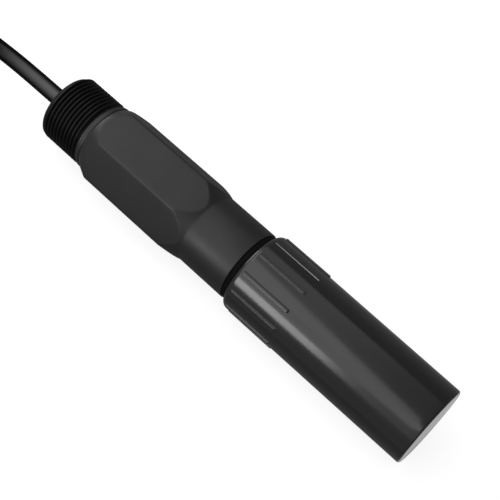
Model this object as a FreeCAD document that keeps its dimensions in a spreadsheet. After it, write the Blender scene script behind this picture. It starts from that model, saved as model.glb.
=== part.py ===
import FreeCAD, Part
import math
import os
import Sketcher

# Conductivity sensor: a screw-in two-electrode cell with a hexagon, a push-on cap and a fixed cable.
# It lies on a level surface. X runs along its axis towards the cap, Z is up, and lengths are millimetres.
# The hexagon and the cap's ribs share one roll, so one hexagon corner and two ribs touch the surface.

Vector = FreeCAD.Vector
doc = FreeCAD.newDocument("conductivity_sensor")

SIZES = [
    # Threaded end, collar and hexagon
    ("thread_radius", 12.5, "M25 thread, outside"),
    ("thread_length", 16.7, "threaded length with its end chamfer"),
    ("thread_chamfer", 1.0, "chamfer at the cable end"),
    ("relief_radius", 12.1, "runout groove behind the thread"),
    ("relief_width", 0.9, "runout groove"),
    ("collar_radius", 12.6, "thin collar"),
    ("collar_width", 1.4, "thin collar with the line cut beside the cone"),
    ("line_width", 0.35, "line cut beside the cone"),
    ("line_depth", 0.25, "line cut beside the cone"),
    ("rear_cone_length", 5.9, "cone from the collar to the hexagon's corners"),
    ("hex_across_flats", 26.7, "spanner size"),
    ("hex_edge_break", 0.5, "taken off each side of the hexagon's corners"),
    ("hex_length", 34.1, "hexagon between its corner ends"),
    ("cone_overrun", 0.4, "how far the turned blank stands above the hexagon's corners"),
    ("front_cone_length", 7.9, "cone from the hexagon's corners to the neck"),
    ("roll", 15.0, "turn about the axis that lets a corner and two ribs share the surface, degrees"),
    # Neck, spigot and seal
    ("neck_radius", 13.05, "round neck"),
    ("neck_length", 19.2, "round neck"),
    ("neck_chamfer", 0.35, "edge at the neck's shoulder"),
    ("seal_gap", 1.8, "gap between shoulder and cap that the seal ring fills"),
    ("seal_radius", 12.82, "seal ring, outside"),
    ("seal_clearance", 0.05, "seal ring to spigot, shoulder and cap"),
    ("spigot_radius", 11.4, "spigot that the cap slides on"),
    ("spigot_length", 22.0, "spigot beyond the shoulder"),
    ("o_ring_groove_radius", 10.0, "floor of the spigot's grooves"),
    ("o_ring_groove_width", 2.0, "spigot's grooves"),
    ("o_ring_first", 8.0, "first groove's edge from the shoulder"),
    ("o_ring_pitch", 7.0, "from one groove to the next"),
    ("o_ring_section", 1.55, "thickness of the spigot's rings"),
    # Bores of the housing
    ("cavity_radius", 8.6, "electronics space"),
    ("pocket_radius", 7.2, "cable gland pocket"),
    ("pocket_depth", 13.0, "cable gland pocket"),
    ("web_thickness", 2.5, "wall between pocket and electronics"),
    ("web_hole_radius", 3.3, "cable hole in that wall"),
    # Cap
    ("cap_length", 74.6, "cap"),
    ("cap_mouth_radius", 14.75, "cap's outside at its mouth"),
    ("cap_end_radius", 14.4, "cap's outside at its closed end"),
    ("cap_mouth_round", 2.0, "rounding at the mouth"),
    ("cap_end_round", 0.8, "rounding at the closed end"),
    ("cap_bore_radius", 11.6, "bore that grips the spigot"),
    ("cap_cavity_radius", 12.3, "space round the electrodes"),
    ("cap_end_wall", 2.6, "closed end's thickness"),
    ("cap_bore_depth", 23.0, "length of the gripping bore"),
    ("rib_count", 12, "grip ribs"),
    ("rib_width", 1.2, "grip rib"),
    ("rib_chamfer", 0.3, "edges of a grip rib"),
    ("rib_start", 2.3, "rib's start from the mouth"),
    ("rib_length", 18.9, "grip rib"),
    ("rib_runout", 0.4, "slope at the rib's end"),
    # Measuring cell
    ("fit_gap", 0.02, "between parts that are pressed or bonded together"),
    ("insert_length", 21.0, "insulator inside the housing"),
    ("insert_flange_radius", 10.6, "insulator's flange"),
    ("insert_flange_width", 2.4, "insulator's flange"),
    ("insert_boss_radius", 4.98, "boss that carries the outer electrode"),
    ("insert_boss_length", 8.0, "boss that carries the outer electrode"),
    ("insert_groove_radius", 7.15, "floor of the insulator's groove"),
    ("insert_groove_width", 1.8, "insulator's groove"),
    ("insert_groove_back", 9.0, "groove's edge from the insulator's flange"),
    ("insert_ring_section", 1.38, "insulator's seal ring"),
    ("tube_radius", 8.0, "outer electrode, outside"),
    ("tube_wall", 1.0, "outer electrode"),
    ("tube_length", 37.0, "outer electrode"),
    ("tube_floor", 2.0, "outer electrode's base"),
    ("vent_radius", 2.6, "flow holes in the outer electrode"),
    ("vent_count", 4, "flow holes"),
    ("vent_place", 14.75, "flow holes from the base"),
    ("rod_radius", 3.0, "inner electrode"),
    ("rod_recess", 2.0, "rod's tip inside the tube's end"),
    ("rod_tail", 7.0, "rod behind the insulator"),
    ("rod_tip_round", 0.8, "rod's tip"),
    ("rod_bore_radius", 1.1, "blind bore for the thermometer"),
    ("rod_tip_wall", 5.0, "metal beyond the blind bore"),
    ("rod_groove_radius", 2.1, "floor of the rod's groove"),
    ("rod_groove_width", 1.3, "rod's groove"),
    ("rod_groove_back", 4.0, "groove's edge from the insulator's flange"),
    ("rod_ring_section", 0.88, "rod's seal ring"),
    ("bead_radius", 0.95, "thermometer bead"),
    ("bead_length", 4.5, "thermometer bead"),
    # Electronics
    ("board_length", 46.0, "circuit board"),
    ("board_width", 14.6, "circuit board"),
    ("board_thickness", 1.6, "circuit board"),
    ("board_drop", 0.8, "board's top below the axis"),
    ("board_gap", 5.0, "board's end behind the rod"),
    ("board_seat", 3.0, "length of board held in each resin plug"),
    ("rear_resin_length", 14.0, "resin plug at the cable"),
    # Cable gland
    ("grommet_length", 6.0, "rubber bush"),
    ("washer_thickness", 1.0, "gland washer"),
    ("gland_gap", 0.05, "round the bush, washer and gland screw"),
    ("gland_bore_radius", 3.5, "hole of washer and gland screw"),
    ("gland_socket_flats", 10.0, "hexagon socket of the gland screw"),
    ("gland_socket_depth", 3.5, "hexagon socket of the gland screw"),
    # Cable
    ("cable_radius", 3.05, "cable jacket"),
    ("jacket_inside", 2.75, "jacket's end in front of the wall"),
    ("core_radius", 0.6, "insulated core"),
    ("core_offset", 0.95, "core from the cable's centre line"),
    ("tie_thickness", 0.8, "tie round the folded cable"),
    ("tie_width", 4.2, "tie round the folded cable"),
    ("sleeve_radius", 3.4, "shrink sleeve on the cable's end"),
    ("sleeve_length", 14.0, "shrink sleeve on the cable's end"),
    ("ferrule_radius", 0.8, "ferrule"),
    ("ferrule_length", 8.0, "ferrule"),
]

sizes = doc.addObject("Spreadsheet::Sheet", "sizes")
for row, (alias, value, note) in enumerate(SIZES, start=1):
    sizes.set("A%d" % row, alias)
    sizes.set("B%d" % row, str(value))
    sizes.set("C%d" % row, note)
    sizes.setAlias("B%d" % row, alias)
doc.recompute()

# Places along X, each worked out from the sizes. The origin lies under the middle of the body.
STATIONS = [
    (
        "rear_end",
        "-(sizes.thread_length + sizes.relief_width + sizes.collar_width + sizes.rear_cone_length"
        " + sizes.hex_length + sizes.front_cone_length + sizes.neck_length + sizes.seal_gap"
        " + sizes.cap_length) / 2",
    ),
    ("relief", "rear_end + sizes.thread_length"),
    ("collar", "relief + sizes.relief_width"),
    ("rear_cone", "collar + sizes.collar_width"),
    ("hex_rear", "rear_cone + sizes.rear_cone_length"),
    ("hex_front", "hex_rear + sizes.hex_length"),
    ("neck", "hex_front + sizes.front_cone_length"),
    ("shoulder", "neck + sizes.neck_length"),
    ("mouth", "shoulder + sizes.seal_gap"),
    ("cap_end", "mouth + sizes.cap_length"),
    ("spigot_end", "shoulder + sizes.spigot_length"),
    ("web_rear", "rear_end + sizes.pocket_depth"),
    ("web_front", "web_rear + sizes.web_thickness"),
    ("insert_rear", "spigot_end - sizes.insert_length"),
    ("insert_front", "spigot_end + sizes.insert_flange_width"),
    ("tube_end", "insert_front + sizes.tube_length"),
    ("rod_rear", "insert_rear - sizes.rod_tail"),
    ("rod_tip", "tube_end - sizes.rod_recess"),
    ("bore_end", "rod_tip - sizes.rod_tip_wall"),
    ("board_front", "rod_rear - sizes.board_gap"),
    ("board_rear", "board_front - sizes.board_length"),
    ("grommet_rear", "web_rear - sizes.grommet_length"),
    ("washer_rear", "grommet_rear - sizes.washer_thickness"),
    ("jacket_end", "web_front + sizes.jacket_inside"),
    ("hex_corner_radius", "sizes.hex_across_flats / sqrt(3)"),
    (
        "axis_height",
        "(hex_corner_radius - sizes.hex_edge_break / 2) * cos(sizes.roll * 1 deg)"
        " + sizes.hex_edge_break * cos(30 deg) * sin(sizes.roll * 1 deg)",
    ),
    (
        "rib_crest",
        "(axis_height - (sizes.rib_width / 2 - sizes.rib_chamfer) * sin(sizes.roll * 1 deg))"
        " / cos(sizes.roll * 1 deg)",
    ),
]

stations = doc.addObject("Spreadsheet::Sheet", "stations")
for row, (alias, formula) in enumerate(STATIONS, start=1):
    stations.set("A%d" % row, alias)
    stations.set("B%d" % row, "=" + formula)
    stations.setAlias("B%d" % row, alias)
doc.recompute()


def number(expression):
    """The present value of an expression that names the two sheets."""
    value = sizes.evalExpression(str(expression))
    return float(getattr(value, "Value", value))


def size(alias):
    return float(getattr(sizes, alias))


def station(alias):
    return float(getattr(stations, alias))


# Sketches, revolved bodies and simple solids

AXIS_X = Vector(1, 0, 0)


def lie_on_axis(thing):
    """Puts a sub-part that is drawn about X on the sensor's axis, with the common roll."""
    thing.Placement = FreeCAD.Placement(Vector(0, 0, 0), FreeCAD.Rotation(AXIS_X, size("roll")))
    thing.setExpression("Placement.Base.z", "stations.axis_height")
    thing.setExpression("Placement.Rotation.Angle", "sizes.roll")


def new_body(label):
    body = doc.addObject("PartDesign::Body", label)
    body.Label = label
    lie_on_axis(body)
    return body


def plane_of(body, role):
    return [f for f in body.Origin.OriginFeatures if f.Role == role][0]


def outline(body, name, role, points, offset=None):
    """A closed outline through points given as pairs of expressions, measured from the origin."""
    sketch = body.newObject("Sketcher::SketchObject", name)
    sketch.AttachmentSupport = [(plane_of(body, role), "")]
    sketch.MapMode = "FlatFace"
    if offset is not None:
        sketch.setExpression("AttachmentOffset.Base.z", offset)
    corners = [Vector(number(x), number(y), 0) for x, y in points]
    for i, corner in enumerate(corners):
        sketch.addGeometry(Part.LineSegment(corner, corners[(i + 1) % len(corners)]), False)
    for i, (x, y) in enumerate(points):
        before = (i - 1) % len(points)
        sketch.addConstraint(Sketcher.Constraint("Coincident", before, 2, i, 1))
        for kind, axis, expression in (("DistanceX", -2, x), ("DistanceY", -1, y)):
            if expression == "0":
                sketch.addConstraint(Sketcher.Constraint("PointOnObject", i, 1, axis))
                continue
            value = number(expression)
            which = sketch.addConstraint(Sketcher.Constraint(kind, -1, 1, i, 1, value))
            sketch.setExpression("Constraints[%d]" % which, expression)
    return sketch


def revolve(body, sketch, name, kind="PartDesign::Revolution"):
    feature = body.newObject(kind, name)
    feature.Profile = sketch
    feature.ReferenceAxis = (sketch, ["H_Axis"])
    feature.Angle = 360.0
    sketch.Visibility = False
    doc.recompute()
    return feature


def turned(label, points):
    """A sub-part turned about the axis from one outline of (place along X, radius) pairs."""
    body = new_body(label)
    revolve(body, outline(body, label + "_outline", "XY_Plane", points), label + "_turned")
    return body


def rounded(body, name, radius, chosen):
    """Rounds the edges of the body's tip for which chosen(edge) is true."""
    base = body.Tip
    shape = base.Shape
    names = ["Edge%d" % (i + 1) for i, edge in enumerate(shape.Edges) if chosen(edge)]
    assert names, name + " finds no edge"
    before = shape.Volume
    feature = body.newObject("PartDesign::Fillet", name)
    feature.Base = (base, names)
    feature.setExpression("Radius", radius)
    doc.recompute()
    assert feature.Shape.Volume < before, name + " rounds nothing"
    return feature


def circle_at(place, radius):
    """A test for a full circle about X at a place, of about a radius."""

    def chosen(edge):
        curve = edge.Curve
        if curve.TypeId != "Part::GeomCircle":
            return False
        return abs(curve.Center.x - place) < 1e-4 and abs(curve.Radius - radius) < 1e-3

    return chosen


# Housing: thread zone, collar, hexagon, neck and spigot, moulded as one piece and bored through


def groove(start, width, top, floor):
    """The four corners of a square groove in an outline."""
    end = "%s + %s" % (start, width)
    return [(start, top), (start, floor), (end, floor), (end, top)]


def hexagon(across_flats, edge_break):
    """A hexagon across X with one flat facing up before the roll, its corners broken."""
    corners = []
    for step in range(6):
        turn = 60 * step
        reach = "(%s / sqrt(3) - %s / 2)" % (across_flats, edge_break)
        aside = "%s * cos(30 deg)" % edge_break
        for sign in ("+", "-"):
            other = "-" if sign == "+" else "+"
            across = "%s * cos(%d deg) %s %s * sin(%d deg)" % (reach, turn, sign, aside, turn)
            rise = "%s * sin(%d deg) %s %s * cos(%d deg)" % (reach, turn, other, aside, turn)
            corners.append((across, rise))
    return corners


def make_housing():
    # Both cones run on above the hexagon's corners, so its flats cut them cleanly
    body = new_body("housing")
    top = "stations.hex_corner_radius + sizes.cone_overrun"

    def beyond(foot):
        return "sizes.cone_overrun / (stations.hex_corner_radius - sizes.%s)" % foot

    ring_start = "stations.shoulder + sizes.o_ring_first"
    points = [
        ("stations.rear_end", "sizes.pocket_radius"),
        ("stations.rear_end", "sizes.thread_radius - sizes.thread_chamfer"),
        ("stations.rear_end + sizes.thread_chamfer", "sizes.thread_radius"),
        ("stations.relief", "sizes.thread_radius"),
        ("stations.relief", "sizes.relief_radius"),
        ("stations.collar", "sizes.relief_radius"),
        ("stations.collar", "sizes.collar_radius"),
        ("stations.rear_cone - sizes.line_width", "sizes.collar_radius"),
        ("stations.rear_cone - sizes.line_width", "sizes.collar_radius - sizes.line_depth"),
        ("stations.rear_cone", "sizes.collar_radius - sizes.line_depth"),
        ("stations.rear_cone", "sizes.collar_radius"),
        ("stations.hex_rear + %s * sizes.rear_cone_length" % beyond("collar_radius"), top),
        ("stations.hex_front - %s * sizes.front_cone_length" % beyond("neck_radius"), top),
        ("stations.neck", "sizes.neck_radius"),
        ("stations.shoulder - sizes.neck_chamfer", "sizes.neck_radius"),
        ("stations.shoulder", "sizes.neck_radius - sizes.neck_chamfer"),
        ("stations.shoulder", "sizes.spigot_radius"),
    ]
    for index in range(2):
        start = "%s + %d * sizes.o_ring_pitch" % (ring_start, index)
        points += groove(
            start, "sizes.o_ring_groove_width", "sizes.spigot_radius", "sizes.o_ring_groove_radius"
        )
    points += [
        ("stations.spigot_end", "sizes.spigot_radius"),
        ("stations.spigot_end", "sizes.cavity_radius"),
        ("stations.web_front", "sizes.cavity_radius"),
        ("stations.web_front", "sizes.web_hole_radius"),
        ("stations.web_rear", "sizes.web_hole_radius"),
        ("stations.web_rear", "sizes.pocket_radius"),
    ]
    revolve(body, outline(body, "housing_outline", "XY_Plane", points), "housing_turned")
    turned_volume = body.Tip.Shape.Volume
    flats = outline(body, "hexagon_outline", "YZ_Plane", hexagon("sizes.hex_across_flats", "sizes.hex_edge_break"))
    rim = flats.addGeometry(Part.Circle(Vector(0, 0, 0), Vector(0, 0, 1), 20.0), False)
    flats.addConstraint(Sketcher.Constraint("Coincident", rim, 3, -1, 1))
    which = flats.addConstraint(Sketcher.Constraint("Radius", rim, 20.0))
    flats.setExpression("Constraints[%d]" % which, "stations.hex_corner_radius * 1.3")
    cut = body.newObject("PartDesign::Pocket", "hexagon_cut")
    cut.Profile = flats
    cut.SideType = "Symmetric"
    cut.Type = "Length"
    cut.setExpression("Length", "2 * abs(stations.rear_end)")
    flats.Visibility = False
    doc.recompute()
    assert body.Tip.Shape.Volume < turned_volume, "the hexagon cuts nothing"
    return body


housing = make_housing()

# Cap: a tapered cup with a rounded mouth and twelve grip ribs that run out in a slope


def make_cap():
    body = new_body("cap")
    points = [
        ("stations.mouth", "sizes.cap_bore_radius"),
        ("stations.mouth", "sizes.cap_mouth_radius"),
        ("stations.cap_end", "sizes.cap_end_radius"),
        ("stations.cap_end", "0"),
        ("stations.cap_end - sizes.cap_end_wall", "0"),
        ("stations.cap_end - sizes.cap_end_wall", "sizes.cap_cavity_radius"),
        ("stations.mouth + sizes.cap_bore_depth", "sizes.cap_cavity_radius"),
        ("stations.mouth + sizes.cap_bore_depth", "sizes.cap_bore_radius"),
    ]
    revolve(body, outline(body, "cap_outline", "XY_Plane", points), "cap_turned")
    rounded(
        body, "mouth_rounding", "sizes.cap_mouth_round", circle_at(station("mouth"), size("cap_mouth_radius"))
    )
    rounded(body, "end_rounding", "sizes.cap_end_round", circle_at(station("cap_end"), size("cap_end_radius")))
    half = "sizes.rib_width / 2"
    inner = "(sizes.cap_bore_radius + sizes.cap_end_radius) / 2"
    section = [
        ("-" + half, inner),
        (half, inner),
        (half, "stations.rib_crest - sizes.rib_chamfer"),
        (half + " - sizes.rib_chamfer", "stations.rib_crest"),
        ("-(%s - sizes.rib_chamfer)" % half, "stations.rib_crest"),
        ("-" + half, "stations.rib_crest - sizes.rib_chamfer"),
    ]
    start = "stations.mouth + sizes.rib_start"
    rib_sketch = outline(body, "rib_section", "YZ_Plane", section, start)
    rib = body.newObject("PartDesign::Pad", "rib")
    rib.Profile = rib_sketch
    rib.setExpression("Length", "sizes.rib_length")
    rib_sketch.Visibility = False
    doc.recompute()
    one_rib = body.Tip.Shape.Volume
    pattern = body.newObject("PartDesign::PolarPattern", "ribs")
    pattern.Originals = [rib]
    pattern.Axis = (plane_axis(body, "X_Axis"), [""])
    pattern.Angle = 360.0
    pattern.setExpression("Occurrences", "sizes.rib_count")
    body.Tip = pattern
    doc.recompute()
    assert body.Tip.Shape.Volume > one_rib, "the ribs don't repeat"
    before = body.Tip.Shape.Volume
    end = "(%s + sizes.rib_length)" % start
    surface = (
        "(sizes.cap_mouth_radius - (sizes.cap_mouth_radius - sizes.cap_end_radius)"
        " * (sizes.rib_start + sizes.rib_length) / sizes.cap_length)"
    )
    above = "stations.rib_crest + 1"
    slope = [
        (end + " - sizes.rib_runout", above),
        (end + " - sizes.rib_runout", "stations.rib_crest"),
        (end, surface + " + sizes.fit_gap"),
        (end + " + 1", above),
    ]
    revolve(body, outline(body, "runout_outline", "XY_Plane", slope), "rib_runouts", "PartDesign::Groove")
    assert body.Tip.Shape.Volume < before, "the runout cuts nothing"
    return body


def plane_axis(body, role):
    return [f for f in body.Origin.OriginFeatures if f.Role == role][0]


cap = make_cap()

# Seal ring in the gap, and the spigot's two rings

turned(
    "cap_seal_ring",
    [
        ("stations.shoulder + sizes.seal_clearance", "sizes.spigot_radius + sizes.seal_clearance"),
        ("stations.shoulder + sizes.seal_clearance", "sizes.seal_radius"),
        ("stations.mouth - sizes.seal_clearance", "sizes.seal_radius"),
        ("stations.mouth - sizes.seal_clearance", "sizes.spigot_radius + sizes.seal_clearance"),
    ],
)


def o_ring(label, centre, floor_radius, section):
    """A round-section ring that sits on a groove's floor."""
    ring = doc.addObject("Part::Torus", label)
    ring.Label = label
    ring.setExpression("Radius2", "%s / 2" % section)
    ring.setExpression("Radius1", "%s + %s / 2" % (floor_radius, section))
    ring.Placement = FreeCAD.Placement(Vector(0, 0, 0), FreeCAD.Rotation(Vector(0, 1, 0), 90))
    ring.setExpression("Placement.Base.x", centre)
    ring.setExpression("Placement.Base.z", "stations.axis_height")
    return ring


for index, label in enumerate(("rear_spigot_ring", "front_spigot_ring")):
    o_ring(
        label,
        "stations.shoulder + sizes.o_ring_first + sizes.o_ring_groove_width / 2 + %d * sizes.o_ring_pitch"
        % index,
        "sizes.o_ring_groove_radius",
        "sizes.o_ring_section",
    )

# Measuring cell: insulator, outer electrode, inner electrode and thermometer


def hole_along(body, name, across, rise, radius):
    """A round hole right through a body along X, beside the axis."""
    sketch = body.newObject("Sketcher::SketchObject", name + "_circle")
    sketch.AttachmentSupport = [(plane_of(body, "YZ_Plane"), "")]
    sketch.MapMode = "FlatFace"
    centre = Vector(across, rise, 0)
    ring = sketch.addGeometry(Part.Circle(centre, Vector(0, 0, 1), number(radius)), False)
    sketch.addConstraint(Sketcher.Constraint("DistanceX", -1, 1, ring, 3, across))
    sketch.addConstraint(Sketcher.Constraint("DistanceY", -1, 1, ring, 3, rise))
    which = sketch.addConstraint(Sketcher.Constraint("Radius", ring, number(radius)))
    sketch.setExpression("Constraints[%d]" % which, radius)
    before = body.Tip.Shape.Volume
    cut = body.newObject("PartDesign::Pocket", name)
    cut.Profile = sketch
    cut.SideType = "Symmetric"
    cut.Type = "Length"
    cut.setExpression("Length", "2 * abs(stations.rear_end)")
    sketch.Visibility = False
    doc.recompute()
    assert body.Tip.Shape.Volume < before, name + " cuts nothing"


LEAD_RADIUS = 0.45
LEAD_ACROSS = 4.5
LEAD_RISE = 4.3


def make_insulator():
    body = new_body("cell_insulator")
    back = "stations.spigot_end - sizes.insert_groove_back"
    stem = "sizes.cavity_radius - sizes.fit_gap"
    points = [
        ("stations.insert_rear", "sizes.rod_radius + sizes.fit_gap"),
        ("stations.insert_rear", stem),
        *groove(back, "sizes.insert_groove_width", stem, "sizes.insert_groove_radius"),
        ("stations.spigot_end", stem),
        ("stations.spigot_end", "sizes.insert_flange_radius"),
        ("stations.insert_front", "sizes.insert_flange_radius"),
        ("stations.insert_front", "sizes.insert_boss_radius"),
        ("stations.insert_front + sizes.insert_boss_length", "sizes.insert_boss_radius"),
        ("stations.insert_front + sizes.insert_boss_length", "sizes.rod_radius + sizes.fit_gap"),
    ]
    revolve(body, outline(body, "insulator_outline", "XY_Plane", points), "insulator_turned")
    hole_along(body, "lead_hole", LEAD_ACROSS, LEAD_RISE, "%s + sizes.fit_gap" % LEAD_RADIUS)
    body.setExpression("Placement.Rotation.Angle", None)
    body.Placement.Rotation = FreeCAD.Rotation()
    return body


make_insulator()
o_ring(
    "insulator_o_ring",
    "stations.spigot_end - sizes.insert_groove_back + sizes.insert_groove_width / 2",
    "sizes.insert_groove_radius",
    "sizes.insert_ring_section",
)


def make_outer_electrode():
    body = new_body("outer_electrode")
    inside = "sizes.tube_radius - sizes.tube_wall"
    points = [
        ("stations.insert_front", "sizes.insert_boss_radius + sizes.fit_gap"),
        ("stations.insert_front", "sizes.tube_radius"),
        ("stations.tube_end", "sizes.tube_radius"),
        ("stations.tube_end", inside),
        ("stations.insert_front + sizes.tube_floor", inside),
        ("stations.insert_front + sizes.tube_floor", "sizes.insert_boss_radius + sizes.fit_gap"),
    ]
    revolve(body, outline(body, "tube_outline", "XY_Plane", points), "tube_turned")
    sketch = body.newObject("Sketcher::SketchObject", "vent_circle")
    sketch.AttachmentSupport = [(plane_of(body, "XY_Plane"), "")]
    sketch.MapMode = "FlatFace"
    place = "stations.insert_front + sizes.vent_place"
    ring = sketch.addGeometry(Part.Circle(Vector(number(place), 0, 0), Vector(0, 0, 1), 1), False)
    sketch.addConstraint(Sketcher.Constraint("PointOnObject", ring, 3, -1))
    which = sketch.addConstraint(Sketcher.Constraint("DistanceX", -1, 1, ring, 3, number(place)))
    sketch.setExpression("Constraints[%d]" % which, place)
    which = sketch.addConstraint(Sketcher.Constraint("Radius", ring, 1))
    sketch.setExpression("Constraints[%d]" % which, "sizes.vent_radius")
    whole_volume = body.Tip.Shape.Volume
    vent = body.newObject("PartDesign::Pocket", "vent")
    vent.Profile = sketch
    vent.Reversed = True
    vent.Type = "Length"
    vent.setExpression("Length", "sizes.tube_radius + 1")
    sketch.Visibility = False
    doc.recompute()
    pattern = body.newObject("PartDesign::PolarPattern", "vents")
    pattern.Originals = [vent]
    pattern.Axis = (plane_axis(body, "X_Axis"), [""])
    pattern.Angle = 360.0
    pattern.setExpression("Occurrences", "sizes.vent_count")
    body.Tip = pattern
    doc.recompute()
    wall = size("tube_wall") * math.pi * size("vent_radius") ** 2
    lost = whole_volume - body.Tip.Shape.Volume
    print("flow holes take %.1f cubic mm, wall times area is %.1f" % (lost, wall * size("vent_count")))
    assert lost > 0.9 * wall * size("vent_count"), "the flow holes don't cut through"
    return body


make_outer_electrode()

rod_groove = "stations.spigot_end - sizes.rod_groove_back"
turned(
    "inner_electrode",
    [
        ("stations.rod_rear", "sizes.rod_bore_radius"),
        ("stations.rod_rear", "sizes.rod_radius"),
        *groove(rod_groove, "sizes.rod_groove_width", "sizes.rod_radius", "sizes.rod_groove_radius"),
        ("stations.rod_tip - sizes.rod_tip_round", "sizes.rod_radius"),
        ("stations.rod_tip", "sizes.rod_radius - sizes.rod_tip_round"),
        ("stations.rod_tip", "0"),
        ("stations.bore_end", "0"),
        ("stations.bore_end", "sizes.rod_bore_radius"),
    ],
)
o_ring(
    "electrode_o_ring",
    rod_groove + " + sizes.rod_groove_width / 2",
    "sizes.rod_groove_radius",
    "sizes.rod_ring_section",
)
turned(
    "temperature_element",
    [
        ("stations.bore_end - sizes.bead_length", "0"),
        ("stations.bore_end - sizes.bead_length", "sizes.bead_radius * 0.7"),
        ("stations.bore_end - sizes.bead_length * 0.8", "sizes.bead_radius"),
        ("stations.bore_end - sizes.bead_length * 0.2", "sizes.bead_radius"),
        ("stations.bore_end", "sizes.bead_radius * 0.6"),
        ("stations.bore_end", "0"),
    ],
)

# Cable gland in the threaded end: rubber bush, washer and hollow screw

pocket_fit = "sizes.pocket_radius - sizes.gland_gap"
turned(
    "cable_grommet",
    [
        ("stations.grommet_rear", "sizes.cable_radius + sizes.fit_gap"),
        ("stations.grommet_rear", pocket_fit),
        ("stations.web_rear", pocket_fit),
        ("stations.web_rear", "sizes.cable_radius + sizes.fit_gap"),
    ],
)
turned(
    "gland_washer",
    [
        ("stations.washer_rear", "sizes.gland_bore_radius"),
        ("stations.washer_rear", pocket_fit),
        ("stations.grommet_rear", pocket_fit),
        ("stations.grommet_rear", "sizes.gland_bore_radius"),
    ],
)


def make_gland_screw():
    body = turned(
        "gland_screw",
        [
            ("stations.rear_end", "sizes.gland_bore_radius"),
            ("stations.rear_end", pocket_fit),
            ("stations.washer_rear", pocket_fit),
            ("stations.washer_rear", "sizes.gland_bore_radius"),
        ],
    )
    before = body.Tip.Shape.Volume
    corners = hexagon("sizes.gland_socket_flats", "sizes.hex_edge_break")
    socket = outline(body, "socket_outline", "YZ_Plane", corners, "stations.rear_end")
    cut = body.newObject("PartDesign::Pocket", "socket")
    cut.Profile = socket
    cut.Reversed = True
    cut.Type = "Length"
    cut.setExpression("Length", "sizes.gland_socket_depth")
    socket.Visibility = False
    doc.recompute()
    assert body.Tip.Shape.Volume < before, "the socket cuts nothing"
    return body


make_gland_screw()

# Cable, leads and cores: straight runs joined by arcs that touch both


def tube_along(points, radius, name):
    """A round tube along a route; each arc's radius is 0.45 of the shorter run over tan(half turn)."""
    route = [Vector(*p) for p in points]
    edges = []
    at = route[0]
    length = 0.0
    radii = []
    for before, here, after in zip(route, route[1:], route[2:]):
        back = (before - here).normalize()
        ahead = (after - here).normalize()
        half_turn = (math.pi - back.getAngle(ahead)) / 2
        trim = 0.45 * min((before - here).Length, (after - here).Length)
        bend = trim / math.tan(half_turn)
        first = here + back * trim
        last = here + ahead * trim
        inward = (back + ahead).normalize()
        middle = here + inward * (bend / math.cos(half_turn) - bend)
        edges.append(Part.LineSegment(at, first).toShape())
        edges.append(Part.Arc(first, middle, last).toShape())
        length += (first - at).Length + bend * 2 * half_turn
        radii.append(bend)
        at = last
    edges.append(Part.LineSegment(at, route[-1]).toShape())
    length += (route[-1] - at).Length
    direction = route[1] - route[0]
    section = Part.Wire([Part.Circle(route[0], direction, radius).toShape()])
    shape = Part.Wire(edges).makePipeShell([section], True, True)
    share = shape.Volume / (math.pi * radius**2 * length)
    bends = ", ".join("%.0f" % r for r in radii)
    print("%s: %.1f mm long, volume %.4f of section by length, bend radii %s" % (name, length, share, bends))
    return shape


def shaped(label, shape):
    """A sub-part whose shape is worked out here."""
    feature = doc.addObject("Part::Feature", label)
    feature.Label = label
    feature.Shape = shape
    return feature


AXIS = station("axis_height")
BOARD_TOP = AXIS - size("board_drop")

# Pads on the board, from one side to the other
PADS = (-4.8, -1.6, 1.6, 4.8)
PAD_REACH = 6.5


def lead(start, pad, radius, name):
    """A wire from a terminal in front to a pad at the board's front end."""
    x, y, z = start
    front = station("board_front")
    lift = BOARD_TOP + radius
    route = [start, (front + 3.2, y, z), (front - 2.0, pad, lift), (front - PAD_REACH, pad, lift)]
    if abs(x - front) < 7.0:
        route[1] = (front + 2.6, y + 0.02 * (pad - y), z)
    return tube_along(route, radius, name)


terminal = station("rod_rear")
shaped("inner_lead", lead((terminal, PADS[2], AXIS + 1.25), PADS[2], LEAD_RADIUS, "inner_lead"))
shaped(
    "outer_lead",
    lead((station("insert_front"), LEAD_ACROSS, AXIS + LEAD_RISE), PADS[3], LEAD_RADIUS, "outer_lead"),
)
THERMO_RADIUS = 0.22
bead_back = station("bore_end") - size("bead_length")
thermometer_wires = [
    lead((bead_back, side * 0.4, AXIS), pad, THERMO_RADIUS, "thermometer wire")
    for side, pad in ((-1, PADS[0]), (1, PADS[1]))
]
shaped("temperature_leads", Part.makeCompound(thermometer_wires))

# Circuit board with its chips and small parts

board = doc.addObject("Part::Box", "circuit_board")
board.Label = "circuit_board"
board.setExpression("Length", "sizes.board_length")
board.setExpression("Width", "sizes.board_width")
board.setExpression("Height", "sizes.board_thickness")
board.setExpression("Placement.Base.x", "stations.board_rear")
board.setExpression("Placement.Base.y", "-sizes.board_width / 2")
board.setExpression("Placement.Base.z", "stations.axis_height - sizes.board_drop - sizes.board_thickness")


def chip(label, back, across, length, width, height, pins):
    """A chip with rows of pins on both long sides, its back edge measured from the board's rear end."""
    left = station("board_rear") + back
    stand_off = 0.15
    pin_width, pin_reach, pin_rise = 0.45, 0.9, 0.5
    pieces = [
        Part.makeBox(length, width, height - stand_off, Vector(left, across - width / 2, BOARD_TOP + stand_off))
    ]
    pitch = length / pins
    for pin in range(pins):
        x = left + pitch * (pin + 0.5) - pin_width / 2
        pieces.append(
            Part.makeBox(pin_width, width + 2 * pin_reach, pin_rise, Vector(x, across - width / 2 - pin_reach, BOARD_TOP))
        )
    shape = pieces[0].multiFuse(pieces[1:]).removeSplitter()
    return shaped(label, shape)


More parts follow.
